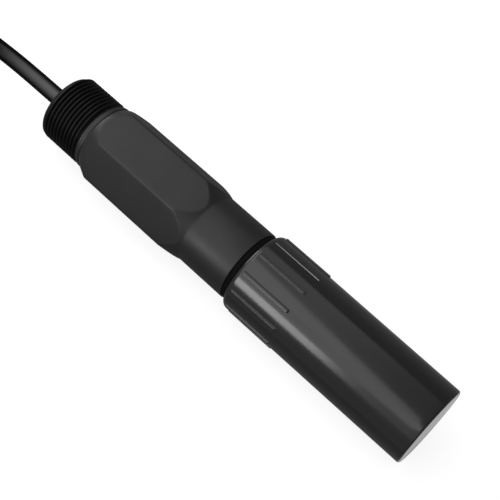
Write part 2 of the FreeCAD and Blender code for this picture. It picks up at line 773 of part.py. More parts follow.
chip("amplifier_chip", 27.0, 0.0, 5.0, 4.0, 1.6, 4)
chip("bus_chip", 16.0, 0.0, 5.0, 4.0, 1.6, 4)
SMALL_PARTS = ((12.0, -4.5), (12.0, 4.5), (23.5, -4.8), (23.5, 4.8), (34.5, -3.0), (34.5, 3.0))
shaped(
    "board_parts",
    Part.makeCompound(
        [
            Part.makeBox(2.0, 1.25, 0.8, Vector(station("board_rear") + x, y - 0.625, BOARD_TOP))
            for x, y in SMALL_PARTS
        ]
    ),
)

# The cable's cores inside the housing, each to its own pad at the board's rear end

jacket_end = station("jacket_end")
CORE_SIDES = ((-1, -1), (-1, 1), (1, -1), (1, 1))


def inner_core(side, pad):
    offset = size("core_offset")
    y, z = side[0] * offset, AXIS + side[1] * offset
    lift = BOARD_TOP + size("core_radius")
    rear = station("board_rear")
    route = [
        (jacket_end, y, z),
        (jacket_end + 3.0, y + 0.05 * (pad - y), z),
        (rear - 1.0, pad, lift + 0.05),
        (rear + 6.0, pad, lift),
    ]
    return tube_along(route, size("core_radius"), "inner core")


inner_cores = [inner_core(side, pad) for side, pad in zip(CORE_SIDES, PADS)]
shaped("inner_cores", Part.makeCompound(inner_cores))

# The cable outside: it leaves the gland level, comes down to the surface and is folded into a hank

EXIT_HEIGHT = AXIS
HANK_FLOOR = size("tie_thickness")
REST = HANK_FLOOR + size("cable_radius")
CABLE_ROUTE = [
    (jacket_end, 0.0, EXIT_HEIGHT),
    (-84.5, 0.0, EXIT_HEIGHT - 0.02),
    (-106.0, 0.0, 14.4),
    (-121.0, 0.8, 12.0),
    (-135.0, 4.0, 7.0),
    (-149.5, 8.2, 4.0),
    (-165.0, 11.4, 3.86),
    (-180.0, 12.0, 3.85),
]
shaped("cable", tube_along(CABLE_ROUTE, size("cable_radius"), "cable"))

# The hank is a stadium of two columns and six layers of cable
HANK_X = -170.0
HANK_Y = -12.4
HANK_RUN = 60.0
HANK_COLUMNS = 2
HANK_LAYERS = 6
HANK_INNER_BEND = 18.3

cable_width = 2 * size("cable_radius")
inner_edge = HANK_INNER_BEND - size("cable_radius")
outer_edge = inner_edge + HANK_COLUMNS * cable_width
hank_height = HANK_LAYERS * cable_width


def stadium(radius, low, height):
    """A solid with two straight sides and two half-round ends, lying on its flat face."""
    far_x = HANK_X - HANK_RUN
    near, far = Vector(HANK_X, HANK_Y, low), Vector(far_x, HANK_Y, low)
    side = Vector(0, radius, 0)
    tip = Vector(radius, 0, 0)
    edges = [
        Part.LineSegment(far + side, near + side).toShape(),
        Part.Arc(near + side, near + tip, near - side).toShape(),
        Part.LineSegment(near - side, far - side).toShape(),
        Part.Arc(far - side, far - tip, far + side).toShape(),
    ]
    return Part.Face(Part.Wire(edges)).extrude(Vector(0, 0, height))


hank = stadium(outer_edge, HANK_FLOOR, hank_height).cut(stadium(inner_edge, HANK_FLOOR, hank_height))
hank_edges = [
    edge
    for edge in hank.Edges
    if abs(edge.BoundBox.ZLength) < 1e-6
]
hank = hank.makeFillet(2.0, hank_edges)
shaped("cable_coil", hank)


def tie(side):
    """A closed band round one straight side of the hank."""
    thick, width = size("tie_thickness"), size("tie_width")
    x = HANK_X - HANK_RUN / 2 - width / 2
    low_y = HANK_Y + (inner_edge if side > 0 else -outer_edge)
    inner = Part.makeBox(width, outer_edge - inner_edge, hank_height, Vector(x, low_y, HANK_FLOOR))
    outer = Part.makeBox(
        width,
        outer_edge - inner_edge + 2 * thick,
        hank_height + 2 * thick,
        Vector(x, low_y - thick, HANK_FLOOR - thick),
    )
    return outer.cut(inner)


shaped("coil_ties", Part.makeCompound([tie(1), tie(-1)]))

# The cable's free end lies on the surface inside the hank: jacket, shrink sleeve, cores and ferrules
END_ROUTE = [
    (-168.0, 5.3, REST),
    (-178.0, 4.9, REST - 0.05),
    (-188.5, 0.6, REST - 0.3),
    (-199.0, -5.6, 3.45),
]
shaped("cable_end", tube_along(END_ROUTE, size("cable_radius"), "cable_end"))

end_point = Vector(*END_ROUTE[-1])
end_direction = (end_point - Vector(*END_ROUTE[-2])).normalize()
sleeve_start = end_point - end_direction * (size("sleeve_length") - 4.0)
sleeve = Part.makeCylinder(size("sleeve_radius"), size("sleeve_length"), sleeve_start, end_direction)
sleeve = sleeve.cut(Part.makeCylinder(size("cable_radius"), size("sleeve_length"), sleeve_start, end_direction))
shaped("end_sleeve", sleeve)

CORE_ENDS = ((-226.0, -3.6), (-229.0, -9.4), (-229.0, -15.2), (-226.0, -21.0))
CORE_NAMES = ("core_brown", "core_white", "core_blue", "core_black")
across = end_direction.cross(Vector(0, 0, 1)).normalize()
up = across.cross(end_direction).normalize()
CORE_PLACES = ((-1, 1), (-1, -1), (1, 1), (1, -1))
ferrules = []
for name, place, (x, y) in zip(CORE_NAMES, CORE_PLACES, CORE_ENDS):
    offset = size("core_offset")
    start = end_point - across * place[0] * offset + up * place[1] * offset
    leave = start + end_direction * 6.5
    fall = Vector((leave.x * 2 + x) / 3, (leave.y + 2 * y) / 3, size("ferrule_radius") + 0.05)
    tip = Vector(x, y, size("ferrule_radius") + 0.05)
    shaped(name, tube_along([start, leave, fall, tip], size("core_radius"), name))
    aim = (tip - fall).normalize()
    ferrules.append(Part.makeCylinder(size("ferrule_radius"), size("ferrule_length"), tip, aim))
shaped("ferrules", Part.makeCompound(ferrules))

# Resin plugs, poured round what passes through them: cut by exactly those parts


def cylinder(start, length, radius):
    return Part.makeCylinder(radius, length, Vector(start, 0, AXIS), AXIS_X)


board_box = Part.makeBox(
    size("board_length"),
    size("board_width"),
    size("board_thickness"),
    Vector(station("board_rear"), -size("board_width") / 2, BOARD_TOP - size("board_thickness")),
)
resin_radius = size("cavity_radius") - size("fit_gap")
front_start = station("board_front") - size("board_seat")
front_resin = cylinder(front_start, station("insert_rear") - front_start, resin_radius)
wires = [doc.getObject(name).Shape for name in ("inner_lead", "outer_lead")] + thermometer_wires
front_resin = front_resin.cut(cylinder(terminal, size("rod_tail"), size("rod_radius")))
for solid in [board_box] + wires:
    front_resin = front_resin.cut(solid)
shaped("front_resin", front_resin)

rear_end = station("board_rear") + size("board_seat")
rear_resin = cylinder(station("web_front"), rear_end - station("web_front"), resin_radius)
for solid in [board_box, doc.getObject("cable").Shape] + inner_cores:
    rear_resin = rear_resin.cut(solid)
shaped("rear_resin", rear_resin)

doc.recompute()

# Checks and files

SUB_PARTS = [
    "housing",
    "cell_insulator",
    "outer_electrode",
    "inner_electrode",
    "temperature_element",
    "insulator_o_ring",
    "electrode_o_ring",
    "rear_spigot_ring",
    "front_spigot_ring",
    "cap_seal_ring",
    "cap",
    "inner_lead",
    "outer_lead",
    "temperature_leads",
    "circuit_board",
    "amplifier_chip",
    "bus_chip",
    "board_parts",
    "front_resin",
    "rear_resin",
    "inner_cores",
    "cable_grommet",
    "gland_washer",
    "gland_screw",
    "cable",
    "cable_coil",
    "coil_ties",
    "cable_end",
    "end_sleeve",
    *CORE_NAMES,
    "ferrules",
]

for item in doc.Objects:
    bad = [state for state in item.State if state in ("Invalid", "Error")]
    assert not bad, "%s is %s" % (item.Label, bad)

os.makedirs("parts", exist_ok=True)
for label in SUB_PARTS:
    shape = doc.getObjectsByLabel(label)[0].Shape
    assert not shape.isNull() and shape.isValid() and shape.Volume > 0, label + " has no sound shape"
    print("%-20s %2d solids %10.2f cubic mm" % (label, len(shape.Solids), shape.Volume))
for label in SUB_PARTS:
    doc.getObjectsByLabel(label)[0].Shape.exportStep("parts/%s.step" % label)
print("axis height %.3f, body from %.2f to %.2f" % (AXIS, station("rear_end"), station("cap_end")))
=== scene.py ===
# %% [markdown]
# # A conductivity sensor, lying on a pale surface
#
# This lesson dresses a ready-made frame in Blender. The sensor is a black plastic probe: a cable, a fine
# thread, a hexagon for the spanner, a round neck, and a long cap over the measuring cell. The frame brings
# every part at its real size, in metres, with X along the probe, Z up and the surface at zero. First the
# script loads it.

# %% Load the frame
import math

import bmesh
import bpy
from mathutils import Matrix, Vector


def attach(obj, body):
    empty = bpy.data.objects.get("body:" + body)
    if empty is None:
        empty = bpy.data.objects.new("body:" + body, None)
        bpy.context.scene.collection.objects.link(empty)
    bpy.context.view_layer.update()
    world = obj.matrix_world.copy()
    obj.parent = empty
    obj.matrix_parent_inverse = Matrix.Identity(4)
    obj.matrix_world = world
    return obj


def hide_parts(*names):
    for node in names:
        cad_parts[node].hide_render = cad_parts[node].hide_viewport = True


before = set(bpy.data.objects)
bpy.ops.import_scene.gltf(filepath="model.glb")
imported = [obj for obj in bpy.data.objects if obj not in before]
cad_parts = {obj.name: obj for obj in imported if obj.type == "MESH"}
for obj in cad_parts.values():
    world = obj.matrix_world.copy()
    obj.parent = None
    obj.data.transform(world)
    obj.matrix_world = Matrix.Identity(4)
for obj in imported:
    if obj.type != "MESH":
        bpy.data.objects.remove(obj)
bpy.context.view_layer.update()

MM = 0.001

# %% [markdown]
# ## The camera
#
# The picture looks down on the probe from its -Y side, a little towards the cap's closed end. The camera is
# rolled, so that the probe runs from the upper left to the lower right. A camera can be aimed with a target
# and a roll. Here its three axes are worked out instead: the way back from the probe, and the picture's right
# and up, turned by the roll.

# %% Camera
AXIS_HEIGHT = 14.7605
# In degrees: the axis towards the camera, the camera round the axis, and the axis in the picture
AXIS_LEAN = 16.12
SIDE_TURN = 36.7
PICTURE_TURN = 41.43
# In millimetres: the point looked at, and from there the camera to the picture's right, up and back
TARGET_X = 1.48
EYE_RIGHT = 2.871
EYE_UP = 3.245
EYE_BACK = 357.70
LENS = 79.68

lean = math.radians(AXIS_LEAN)
round_axis = math.radians(SIDE_TURN)
facing = Vector((0.0, -math.sin(round_axis), math.cos(round_axis)))
aside = Vector((0.0, math.cos(round_axis), math.sin(round_axis)))
back = Vector((math.sin(lean), 0.0, 0.0)) + facing * math.cos(lean)
along = (Vector((1.0, 0.0, 0.0)) - back * math.sin(lean)) / math.cos(lean)
turn = math.radians(PICTURE_TURN)
picture_right = along * math.cos(turn) + aside * math.sin(turn)
picture_up = aside * math.cos(turn) - along * math.sin(turn)

target = Vector((TARGET_X, 0.0, AXIS_HEIGHT))
eye = target + picture_right * EYE_RIGHT + picture_up * EYE_UP + back * EYE_BACK
camera_data = bpy.data.cameras.new("photo_camera")
camera_data.lens = LENS
camera_data.sensor_width = 36.0
camera_data.clip_start = 0.01
camera = bpy.data.objects.new("photo_camera", camera_data)
axes = Matrix((picture_right, picture_up, back)).transposed().to_4x4()
camera.matrix_world = Matrix.Translation(eye * MM) @ axes
bpy.context.scene.collection.objects.link(camera)
bpy.context.scene.camera = camera
print("camera looks down by", round(math.degrees(math.asin(back.z)), 1), "degrees")

# %% [markdown]
# ## Materials: shared effects
#
# Moulded plastic is never one flat value. Its skin has a fine grain, its gloss varies softly, and dust and
# handling leave faint paler marks. Each effect is a node group with named sockets, placed in every material
# that needs it with values of its own. Noise in object space is used, because it needs no image and its
# scale is the real one.


# %% Node helpers
def link(tree, source, target_socket):
    tree.links.new(source, target_socket)


def new_group(name, inputs, outputs):
    """A shader group with float or colour sockets, and its input and output nodes."""
    group = bpy.data.node_groups.new(name, "ShaderNodeTree")
    for label, kind, value in inputs:
        socket = group.interface.new_socket(name=label, in_out="INPUT", socket_type=kind)
        socket.default_value = value
    for label, kind in outputs:
        group.interface.new_socket(name=label, in_out="OUTPUT", socket_type=kind)
    return group, group.nodes.new("NodeGroupInput"), group.nodes.new("NodeGroupOutput")


def math_node(tree, operation, first, second=None):
    node = tree.nodes.new("ShaderNodeMath")
    node.operation = operation
    for socket, value in zip(node.inputs, (first, second)):
        if value is None:
            continue
        if isinstance(value, (int, float)):
            socket.default_value = value
        else:
            link(tree, value, socket)
    return node.outputs[0]


def ramp(tree, factor, low, high, low_out=0.0, high_out=1.0):
    """Maps a factor between two limits to a range, held at its ends."""
    node = tree.nodes.new("ShaderNodeMapRange")
    node.inputs["From Min"].default_value = low
    node.inputs["From Max"].default_value = high
    for name, value in (("To Min", low_out), ("To Max", high_out)):
        if isinstance(value, (int, float)):
            node.inputs[name].default_value = value
        else:
            link(tree, value, node.inputs[name])
    link(tree, factor, node.inputs["Value"])
    return node.outputs["Result"]


def noise(tree, vector, scale, detail=2.0, roughness=0.5):
    node = tree.nodes.new("ShaderNodeTexNoise")
    node.inputs["Detail"].default_value = detail
    node.inputs["Roughness"].default_value = roughness
    if isinstance(scale, (int, float)):
        node.inputs["Scale"].default_value = scale
    else:
        link(tree, scale, node.inputs["Scale"])
    link(tree, vector, node.inputs["Vector"])
    return node.outputs["Fac"]


FLOAT = "NodeSocketFloat"
COLOUR = "NodeSocketColor"


# %% Moulded grain
# The coarse grain's scale as a share of the fine one's, and the scale of the gloss's soft clouds
COARSE_GRAIN = 0.21
GLOSS_CLOUDS = 55.0


def make_moulded_grain():
    group, given, result = new_group(
        "moulded_grain",
        [("Grain Scale", FLOAT, 2500.0), ("Roughness Low", FLOAT, 0.4), ("Roughness High", FLOAT, 0.5)],
        [("Height", FLOAT), ("Roughness", FLOAT)],
    )
    place = group.nodes.new("ShaderNodeTexCoord").outputs["Object"]
    fine = noise(group, place, given.outputs["Grain Scale"], 2.0)
    coarse_scale = math_node(group, "MULTIPLY", given.outputs["Grain Scale"], COARSE_GRAIN)
    coarse = noise(group, place, coarse_scale, 3.0)
    fine_part = math_node(group, "MULTIPLY", fine, 0.7)
    coarse_part = math_node(group, "MULTIPLY", coarse, 0.3)
    height = math_node(group, "ADD", fine_part, coarse_part)
    cloudy = noise(group, place, GLOSS_CLOUDS, 4.0, 0.6)
    link(group, height, result.inputs["Height"])
    rough = ramp(group, cloudy, 0.3, 0.7, given.outputs["Roughness Low"], given.outputs["Roughness High"])
    link(group, rough, result.inputs["Roughness"])
    return group


moulded_grain = make_moulded_grain()
print("made group", moulded_grain.name)


# %% Dust and handling
DUST_COLOUR = (0.16, 0.16, 0.16, 1.0)
SPECK_SCALE = 1400.0
PATCH_SCALE = 40.0
HAZE = 0.25


def make_dust():
    group, given, result = new_group(
        "dust_and_handling",
        [
            ("Base Color", COLOUR, (0.02, 0.02, 0.02, 1.0)),
            ("Dust Color", COLOUR, DUST_COLOUR),
            ("Amount", FLOAT, 0.1),
        ],
        [("Color", COLOUR)],
    )
    place = group.nodes.new("ShaderNodeTexCoord").outputs["Object"]
    specks = ramp(group, noise(group, place, SPECK_SCALE, 1.0), 0.66, 0.8)
    patches = ramp(group, noise(group, place, PATCH_SCALE, 3.0), 0.45, 0.75)
    mask = math_node(group, "MULTIPLY", specks, patches)
    haze = math_node(group, "MULTIPLY", patches, HAZE)
    both = math_node(group, "ADD", mask, haze)
    share_of_dust = math_node(group, "MULTIPLY", both, given.outputs["Amount"])
    mix = group.nodes.new("ShaderNodeMix")
    mix.data_type = "RGBA"
    link(group, share_of_dust, mix.inputs["Factor"])
    link(group, given.outputs["Base Color"], mix.inputs["A"])
    link(group, given.outputs["Dust Color"], mix.inputs["B"])
    link(group, mix.outputs["Result"], result.inputs["Color"])
    return group


dust_and_handling = make_dust()
print("made group", dust_and_handling.name)


# %% Turning marks
def make_turning_marks():
    """Fine rings left by a lathe about the probe's axis, on tubes as on end faces."""
    group, given, result = new_group(
        "turning_marks",
        [("Marks Scale", FLOAT, 9000.0), ("Roughness Low", FLOAT, 0.22), ("Roughness High", FLOAT, 0.4)],
        [("Height", FLOAT), ("Roughness", FLOAT)],
    )
    place = group.nodes.new("ShaderNodeTexCoord").outputs["Object"]
    parts = group.nodes.new("ShaderNodeSeparateXYZ")
    link(group, place, parts.inputs[0])
    up = math_node(group, "SUBTRACT", parts.outputs["Z"], AXIS_HEIGHT * MM)
    aside_square = math_node(group, "MULTIPLY", parts.outputs["Y"], parts.outputs["Y"])
    squares = math_node(group, "ADD", aside_square, math_node(group, "MULTIPLY", up, up))
    radius = math_node(group, "SQRT", squares)
    ring = group.nodes.new("ShaderNodeCombineXYZ")
    link(group, parts.outputs["X"], ring.inputs["X"])
    link(group, radius, ring.inputs["Y"])
    marks = noise(group, ring.outputs[0], given.outputs["Marks Scale"], 2.0, 0.7)
    cloudy = noise(group, place, 90.0, 3.0)
    marks_part = math_node(group, "MULTIPLY", marks, 0.6)
    both = math_node(group, "ADD", marks_part, math_node(group, "MULTIPLY", cloudy, 0.4))
    link(group, marks, result.inputs["Height"])
    rough = ramp(group, both, 0.35, 0.65, given.outputs["Roughness Low"], given.outputs["Roughness High"])
    link(group, rough, result.inputs["Roughness"])
    return group


turning_marks = make_turning_marks()
print("made group", turning_marks.name)

# %% [markdown]
# ## Materials: the finishes
#
# One maker builds them all: a Principled shader, a surface group for height and roughness, and the dust
# group between the colour and the shader. What is the same all over a part, such as how metallic or how
# mirroring it is, is set on the shader itself. The housing is a dull black, the cap a glossy one, so they
# take the same light quite differently. The cable's sheen is the exception: it is painted shade at the edges,
# its reflection cut away towards the edges of the view of it, so the cable reads as dark with a soft light
# middle.


# %% Material maker
# Heights of the fine relief, in metres
COARSE_RELIEF = 0.00002
FINE_RELIEF = 0.00001
CUT_RELIEF = 0.000006
POLISHED_RELIEF = 0.000004
GLOSSY_RELIEF = 0.0000015
BUMP_STRENGTH = 0.6


def finish(name, colour, surface, values, relief=FINE_RELIEF, dust=0.08, **shader_values):
    """A material with a surface group, its values, the height of its relief and some dust."""
    material = bpy.data.materials.new(name)
    material.use_nodes = True
    material.diffuse_color = (*colour, 1.0)
    tree = material.node_tree
    shader = tree.nodes["Principled BSDF"]
    skin_node = tree.nodes.new("ShaderNodeGroup")
    skin_node.node_tree = surface
    for label, value in values.items():
        skin_node.inputs[label].default_value = value
    dust_node = tree.nodes.new("ShaderNodeGroup")
    dust_node.node_tree = dust_and_handling
    dust_node.inputs["Base Color"].default_value = (*colour, 1.0)
    dust_node.inputs["Dust Color"].default_value = DUST_COLOUR
    dust_node.inputs["Amount"].default_value = dust
    bump = tree.nodes.new("ShaderNodeBump")
    bump.inputs["Distance"].default_value = relief
    bump.inputs["Strength"].default_value = BUMP_STRENGTH
    link(tree, skin_node.outputs["Height"], bump.inputs["Height"])
    link(tree, bump.outputs["Normal"], shader.inputs["Normal"])
    link(tree, skin_node.outputs["Roughness"], shader.inputs["Roughness"])
    link(tree, dust_node.outputs["Color"], shader.inputs["Base Color"])
    for label, value in shader_values.items():
        shader.inputs[label.replace("_", " ")].default_value = value
    return material


def grain(scale, low, high):
    return {"Grain Scale": scale, "Roughness Low": low, "Roughness High": high}


def marks(scale, low, high):
    return {"Marks Scale": scale, "Roughness Low": low, "Roughness High": high}


housing_black = finish(
    "housing_black", (0.007, 0.007, 0.0072), moulded_grain, grain(3200.0, 0.4, 0.48), COARSE_RELIEF,
    Specular_IOR_Level=0.27,
)
# Painted shade: the thread's own material is darker and reflects less than the housing, to stand in for the
# shade in its grooves
thread_painted_shade = finish(
    "thread_painted_shade", (0.003, 0.003, 0.003), moulded_grain, grain(3200.0, 0.4, 0.5), COARSE_RELIEF,
    Specular_IOR_Level=0.1,
)
cap_black = finish(
    "cap_black", (0.006, 0.006, 0.0062), moulded_grain, grain(900.0, 0.15, 0.2), GLOSSY_RELIEF,
    dust=0.03, Specular_IOR_Level=0.375,
)
seal_black = finish(
    "seal_black", (0.002, 0.002, 0.002), moulded_grain, grain(5000.0, 0.7, 0.8), COARSE_RELIEF,
    dust=0.02, Specular_IOR_Level=0.05,
)
insulator_beige = finish(
    "insulator_beige", (0.66, 0.56, 0.38), turning_marks, marks(7000.0, 0.38, 0.5), CUT_RELIEF
)
electrode_steel = finish(
    "electrode_steel", (0.62, 0.62, 0.63), turning_marks, marks(9000.0, 0.2, 0.36), POLISHED_RELIEF,
    dust=0.02, Metallic=1.0,
)
ferrule_tin = finish(
    "ferrule_tin", (0.72, 0.72, 0.71), moulded_grain, grain(2600.0, 0.25, 0.4), dust=0.04, Metallic=1.0
)
sleeve_black = finish(
    "sleeve_black", (0.008, 0.008, 0.008), moulded_grain, grain(1500.0, 0.42, 0.55), COARSE_RELIEF
)
board_green = finish(
    "board_green", (0.02, 0.16, 0.06), moulded_grain, grain(1200.0, 0.25, 0.35), COARSE_RELIEF
)
tie_black = finish("tie_black", (0.012, 0.012, 0.012), moulded_grain, grain(1800.0, 0.35, 0.45))
resin_black = finish("resin_black", (0.02, 0.02, 0.022), moulded_grain, grain(300.0, 0.12, 0.2))
chip_grey = finish("chip_grey", (0.02, 0.02, 0.021), moulded_grain, grain(6000.0, 0.5, 0.6))
ceramic_tan = finish("ceramic_tan", (0.42, 0.33, 0.2), moulded_grain, grain(4000.0, 0.35, 0.5))
bead_white = finish("bead_white", (0.72, 0.7, 0.65), moulded_grain, grain(4000.0, 0.2, 0.35))
wire_grey = finish("wire_grey", (0.55, 0.53, 0.48), moulded_grain, grain(2000.0, 0.35, 0.5))
wire_copper = finish("wire_copper", (0.55, 0.22, 0.08), moulded_grain, grain(2000.0, 0.25, 0.35))
CORE_COLOURS = {
    "core_brown": (0.18, 0.07, 0.03),
    "core_white": (0.75, 0.75, 0.72),
    "core_blue": (0.03, 0.1, 0.42),
    "core_black": (0.015, 0.015, 0.015),
}
core_finishes = {
    name: finish(name + "_skin", colour, moulded_grain, grain(2200.0, 0.35, 0.45))
    for name, colour in CORE_COLOURS.items()
}
print("made", len(bpy.data.materials), "materials")


# %% Cable jacket
def painted_edge_shade(material, middle, edge):
    """Paints shade on the edges of a round jacket: its specular level fades from the middle of the view of it
    to its edges.
    """
    tree = material.node_tree
    weight = tree.nodes.new("ShaderNodeLayerWeight")
    weight.inputs["Blend"].default_value = 0.5
    level = ramp(tree, weight.outputs["Facing"], 0.03, 0.42, middle, edge)
    link(tree, level, tree.nodes["Principled BSDF"].inputs["Specular IOR Level"])


cable_black = finish(
    "cable_black", (0.005, 0.005, 0.0055), moulded_grain, grain(2600.0, 0.28, 0.36), dust=0.05
)
# Painted shade: the cable's reflection is cut away towards the edges of the view of it, so its sides read
# dark
painted_edge_shade(cable_black, 0.64, 0.0)
print("made", cable_black.name)

# %% [markdown]
# ## The cable
#
# The cable is one fixed length of flexible round cable. It leaves the threaded end level, comes down to the
# surface under its own weight, and the metres that the picture doesn't show are folded into a neat hank
# behind the probe. It could be a swept mesh, but a NURBS curve with a round bevel is one smooth line through
# few points, which is how a cable bends. The turns of the hank are more points of the same line, placed by a
# loop: two columns of six layers, up the outer column and down the inner one.

# %% Cable route
CABLE_RADIUS = 3.05
# From inside the threaded end down to the surface, and after the hank to the bare end
CABLE_START = [
    (-63.0, 0.0, AXIS_HEIGHT),
    (-84.5, 0.0, 14.7405),
    (-106.0, 0.0, 14.4),
    (-121.0, 0.8, 12.0),
    (-135.0, 4.0, 7.0),
    (-149.5, 8.2, 4.0),
    (-165.0, 11.4, 3.86),
]
CABLE_FINISH = [
    (-168.0, 5.3, 3.85),
    (-178.0, 4.9, 3.8),
    (-188.5, 0.6, 3.55),
    (-199.0, -5.6, 3.45),
]

HANK_NEAR_X = -170.0
HANK_FAR_X = -230.0
HANK_Y = -12.4
HANK_LOW = 3.85
LAYERS = 6
OUTER_BEND = 24.4
INNER_BEND = 18.3
CABLE_WIDTH = 2 * CABLE_RADIUS
ARC_STEP = 30
ARC_STEPS = [ARC_STEP * (step + 0.5) for step in range(180 // ARC_STEP)]
# A NURBS line of this order passes inside points that stand one step apart, and this makes up for it
POINT_REACH = 1 / math.cos(math.radians(ARC_STEP / 2))
# Distances along the straight sides, from the nearer fold's centre to the line's points there
SIDE_INSET = 18
CROSSING = (26, 38, 50)
DESCENT = (4, 14, 24)
DESCENT_END = 12
# Share of a layer that the line has climbed at each point of a fold, before it is eased
CLIMB = (0.0, 0.3, 0.65, 1.0, 1.0, 1.0)


def hank_point(centre_x, angle, bend, height):
    turned = math.radians(angle)
    reach = bend * POINT_REACH
    return (centre_x + reach * math.cos(turned), HANK_Y + reach * math.sin(turned), height)


def layer_height(layer):
    return HANK_LOW + CABLE_WIDTH * layer


def eased(share_done):
    return share_done * share_done * (3 - 2 * share_done)


def far_side(bend, height):
    """Along the +Y side to the far fold and round it, to the start of the -Y side."""
    points = [(x, HANK_Y + bend, height) for x in (HANK_NEAR_X - SIDE_INSET, HANK_FAR_X + SIDE_INSET)]
    return points + [hank_point(HANK_FAR_X, 90 + step, bend, height) for step in ARC_STEPS]


def near_fold(bend, heights):
    return [hank_point(HANK_NEAR_X, -90 + step, bend, z) for step, z in zip(ARC_STEPS, heights)]


def hank_turns():
    """All turns of the hank, from the outer column's lowest to the inner column's lowest."""
    points = []
    for layer in range(LAYERS):
        low = layer_height(layer)
        points += far_side(OUTER_BEND, low)
        if layer < LAYERS - 1:
            sides = (HANK_FAR_X + SIDE_INSET, HANK_NEAR_X - SIDE_INSET)
            points += [(x, HANK_Y - OUTER_BEND, low) for x in sides]
            points += near_fold(OUTER_BEND, [low + CABLE_WIDTH * eased(climbed) for climbed in CLIMB])
    top = layer_height(LAYERS - 1)
    bends = (OUTER_BEND, (OUTER_BEND + INNER_BEND) / 2, INNER_BEND)
    points += [(HANK_FAR_X + inset, HANK_Y - bend, top) for inset, bend in zip(CROSSING, bends)]
    points += near_fold(INNER_BEND, [top] * len(ARC_STEPS))
    for layer in range(LAYERS - 1, 0, -1):
        high = layer_height(layer)
        low = layer_height(layer - 1)
        points += far_side(INNER_BEND, high)
        heights = (high, (high + low) / 2, low)
        points += [(HANK_FAR_X + inset, HANK_Y - INNER_BEND, z) for inset, z in zip(DESCENT, heights)]
        points.append((HANK_NEAR_X - DESCENT_END, HANK_Y - INNER_BEND, low))
        points += near_fold(INNER_BEND, [low] * len(ARC_STEPS))
    return points


route = CABLE_START + hank_turns() + CABLE_FINISH
print("cable route has", len(route), "points")


# %% Cable as a curve
# The bevel is a polygon inside its circle, and this makes up for it
BEVEL_FILL = 1.015


def cable_curve(name, points, radius, material, smoothness=6):
    """A round cable along a NURBS line with these control points, in millimetres."""
    curve = bpy.data.curves.new(name, "CURVE")
    curve.dimensions = "3D"
    curve.bevel_depth = radius * MM
    curve.bevel_resolution = 6
    curve.resolution_u = smoothness
    curve.use_fill_caps = True
    spline = curve.splines.new("NURBS")
    spline.points.add(len(points) - 1)
    for point, (x, y, z) in zip(spline.points, points):
        point.co = (x * MM, y * MM, z * MM, 1.0)
    spline.order_u = 3
    spline.use_endpoint_u = True
    curve.materials.append(material)
    piece = bpy.data.objects.new(name, curve)
    bpy.context.scene.collection.objects.link(piece)
    return piece


cable_run = cable_curve("cable_run", route, CABLE_RADIUS * BEVEL_FILL, cable_black)
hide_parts("cable", "cable_coil", "cable_end")
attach(cable_run, "sensor")
print("made", cable_run.name)

# %% [markdown]
# ## The cable's bare end
#
# A sensor cable ends in bare cores for a terminal block. The jacket stops under a shrink sleeve, and four
# coloured cores fan out of it, each with a ferrule crimped on its end. The cores are curves again. The sleeve
# and the ferrules are turned shapes, so one helper spins a profile round any line.


# %% Mesh helpers
MERGE_DISTANCE = 0.0004
SLIVER_AREA = 1e-9


def mesh_piece(name, build, material, sharp=40.0):
    """A mesh object from a function that fills a bmesh in millimetres, smooth but for its sharp edges."""
    shape = bmesh.new()
    build(shape)
    bmesh.ops.remove_doubles(shape, verts=shape.verts, dist=MERGE_DISTANCE)
    slivers = [face for face in shape.faces if face.calc_area() < SLIVER_AREA]
    bmesh.ops.delete(shape, geom=slivers, context="FACES_ONLY")
    bmesh.ops.recalc_face_normals(shape, faces=shape.faces)
    bmesh.ops.scale(shape, vec=(MM, MM, MM), verts=shape.verts)
    mesh = bpy.data.meshes.new(name)
    shape.to_mesh(mesh)
    shape.free()
    mesh.shade_smooth()
    mesh.set_sharp_from_angle(angle=math.radians(sharp))
    mesh.materials.append(material)
    piece = bpy.data.objects.new(name, mesh)
    bpy.context.scene.collection.objects.link(piece)
    return piece


def skin_rings(shape, rings):
    """Joins rings of points with quads, each ring to the next, and closes each ring."""
    made = [[shape.verts.new(point) for point in ring] for ring in rings]
    for first, second in zip(made, made[1:]):
        count = len(first)
        for i in range(count):
            j = (i + 1) % count
            shape.faces.new((first[i], first[j], second[j], second[i]))


def spin(shape, start, direction, profile, steps):
    """Turns a profile of (distance along, radius) pairs round a line."""
    way = Vector(direction).normalized()
    side = way.orthogonal().normalized()
    up = way.cross(side)
    rings = []
    for distance, radius in profile:
        centre = Vector(start) + way * distance
        rings.append(
            [
                centre + (side * math.cos(a) + up * math.sin(a)) * radius
                for a in (2 * math.pi * i / steps for i in range(steps))
            ]
        )
    skin_rings(shape, rings)


# %% Sleeve, cores and ferrules
end_point = Vector(CABLE_FINISH[-1])
end_way = (end_point - Vector(CABLE_FINISH[-2])).normalized()
across = end_way.cross(Vector((0.0, 0.0, 1.0))).normalized()
up = across.cross(end_way).normalized()

# Profiles of (distance along, radius)
SLEEVE_OVERLAP = 10.0
SLEEVE_PROFILE = [
    (0.0, 3.06), (0.0, 3.2), (0.4, 3.32), (2.0, 3.3), (5.5, 3.34), (9.0, 3.32), (10.4, 3.2),
    (11.5, 2.7), (13.0, 2.45), (13.7, 2.4), (13.8, 2.2), (13.2, 2.05), (11.0, 2.0),
]
FERRULE_PROFILE = [
    (-3.4, 0.62), (-3.4, 1.0), (-3.1, 1.12), (-0.9, 1.1), (-0.3, 0.8), (0.0, 0.78),
    (0.6, 0.78), (1.0, 0.7), (1.5, 0.7), (1.9, 0.78), (3.0, 0.78), (3.4, 0.7),
    (3.9, 0.7), (4.3, 0.78), (7.8, 0.76), (8.0, 0.66), (8.0, 0.0),
]
CORE_RADIUS = 0.6
CORE_OFFSET = 0.95
CORE_STRAIGHT = 6.5
CORE_PLACES = ((-1, 1), (-1, -1), (1, 1), (1, -1))
TIP_HEIGHT = 1.15
CORE_TIPS = ((-226.0, -3.6), (-229.0, -9.4), (-229.0, -15.2), (-226.0, -21.0))


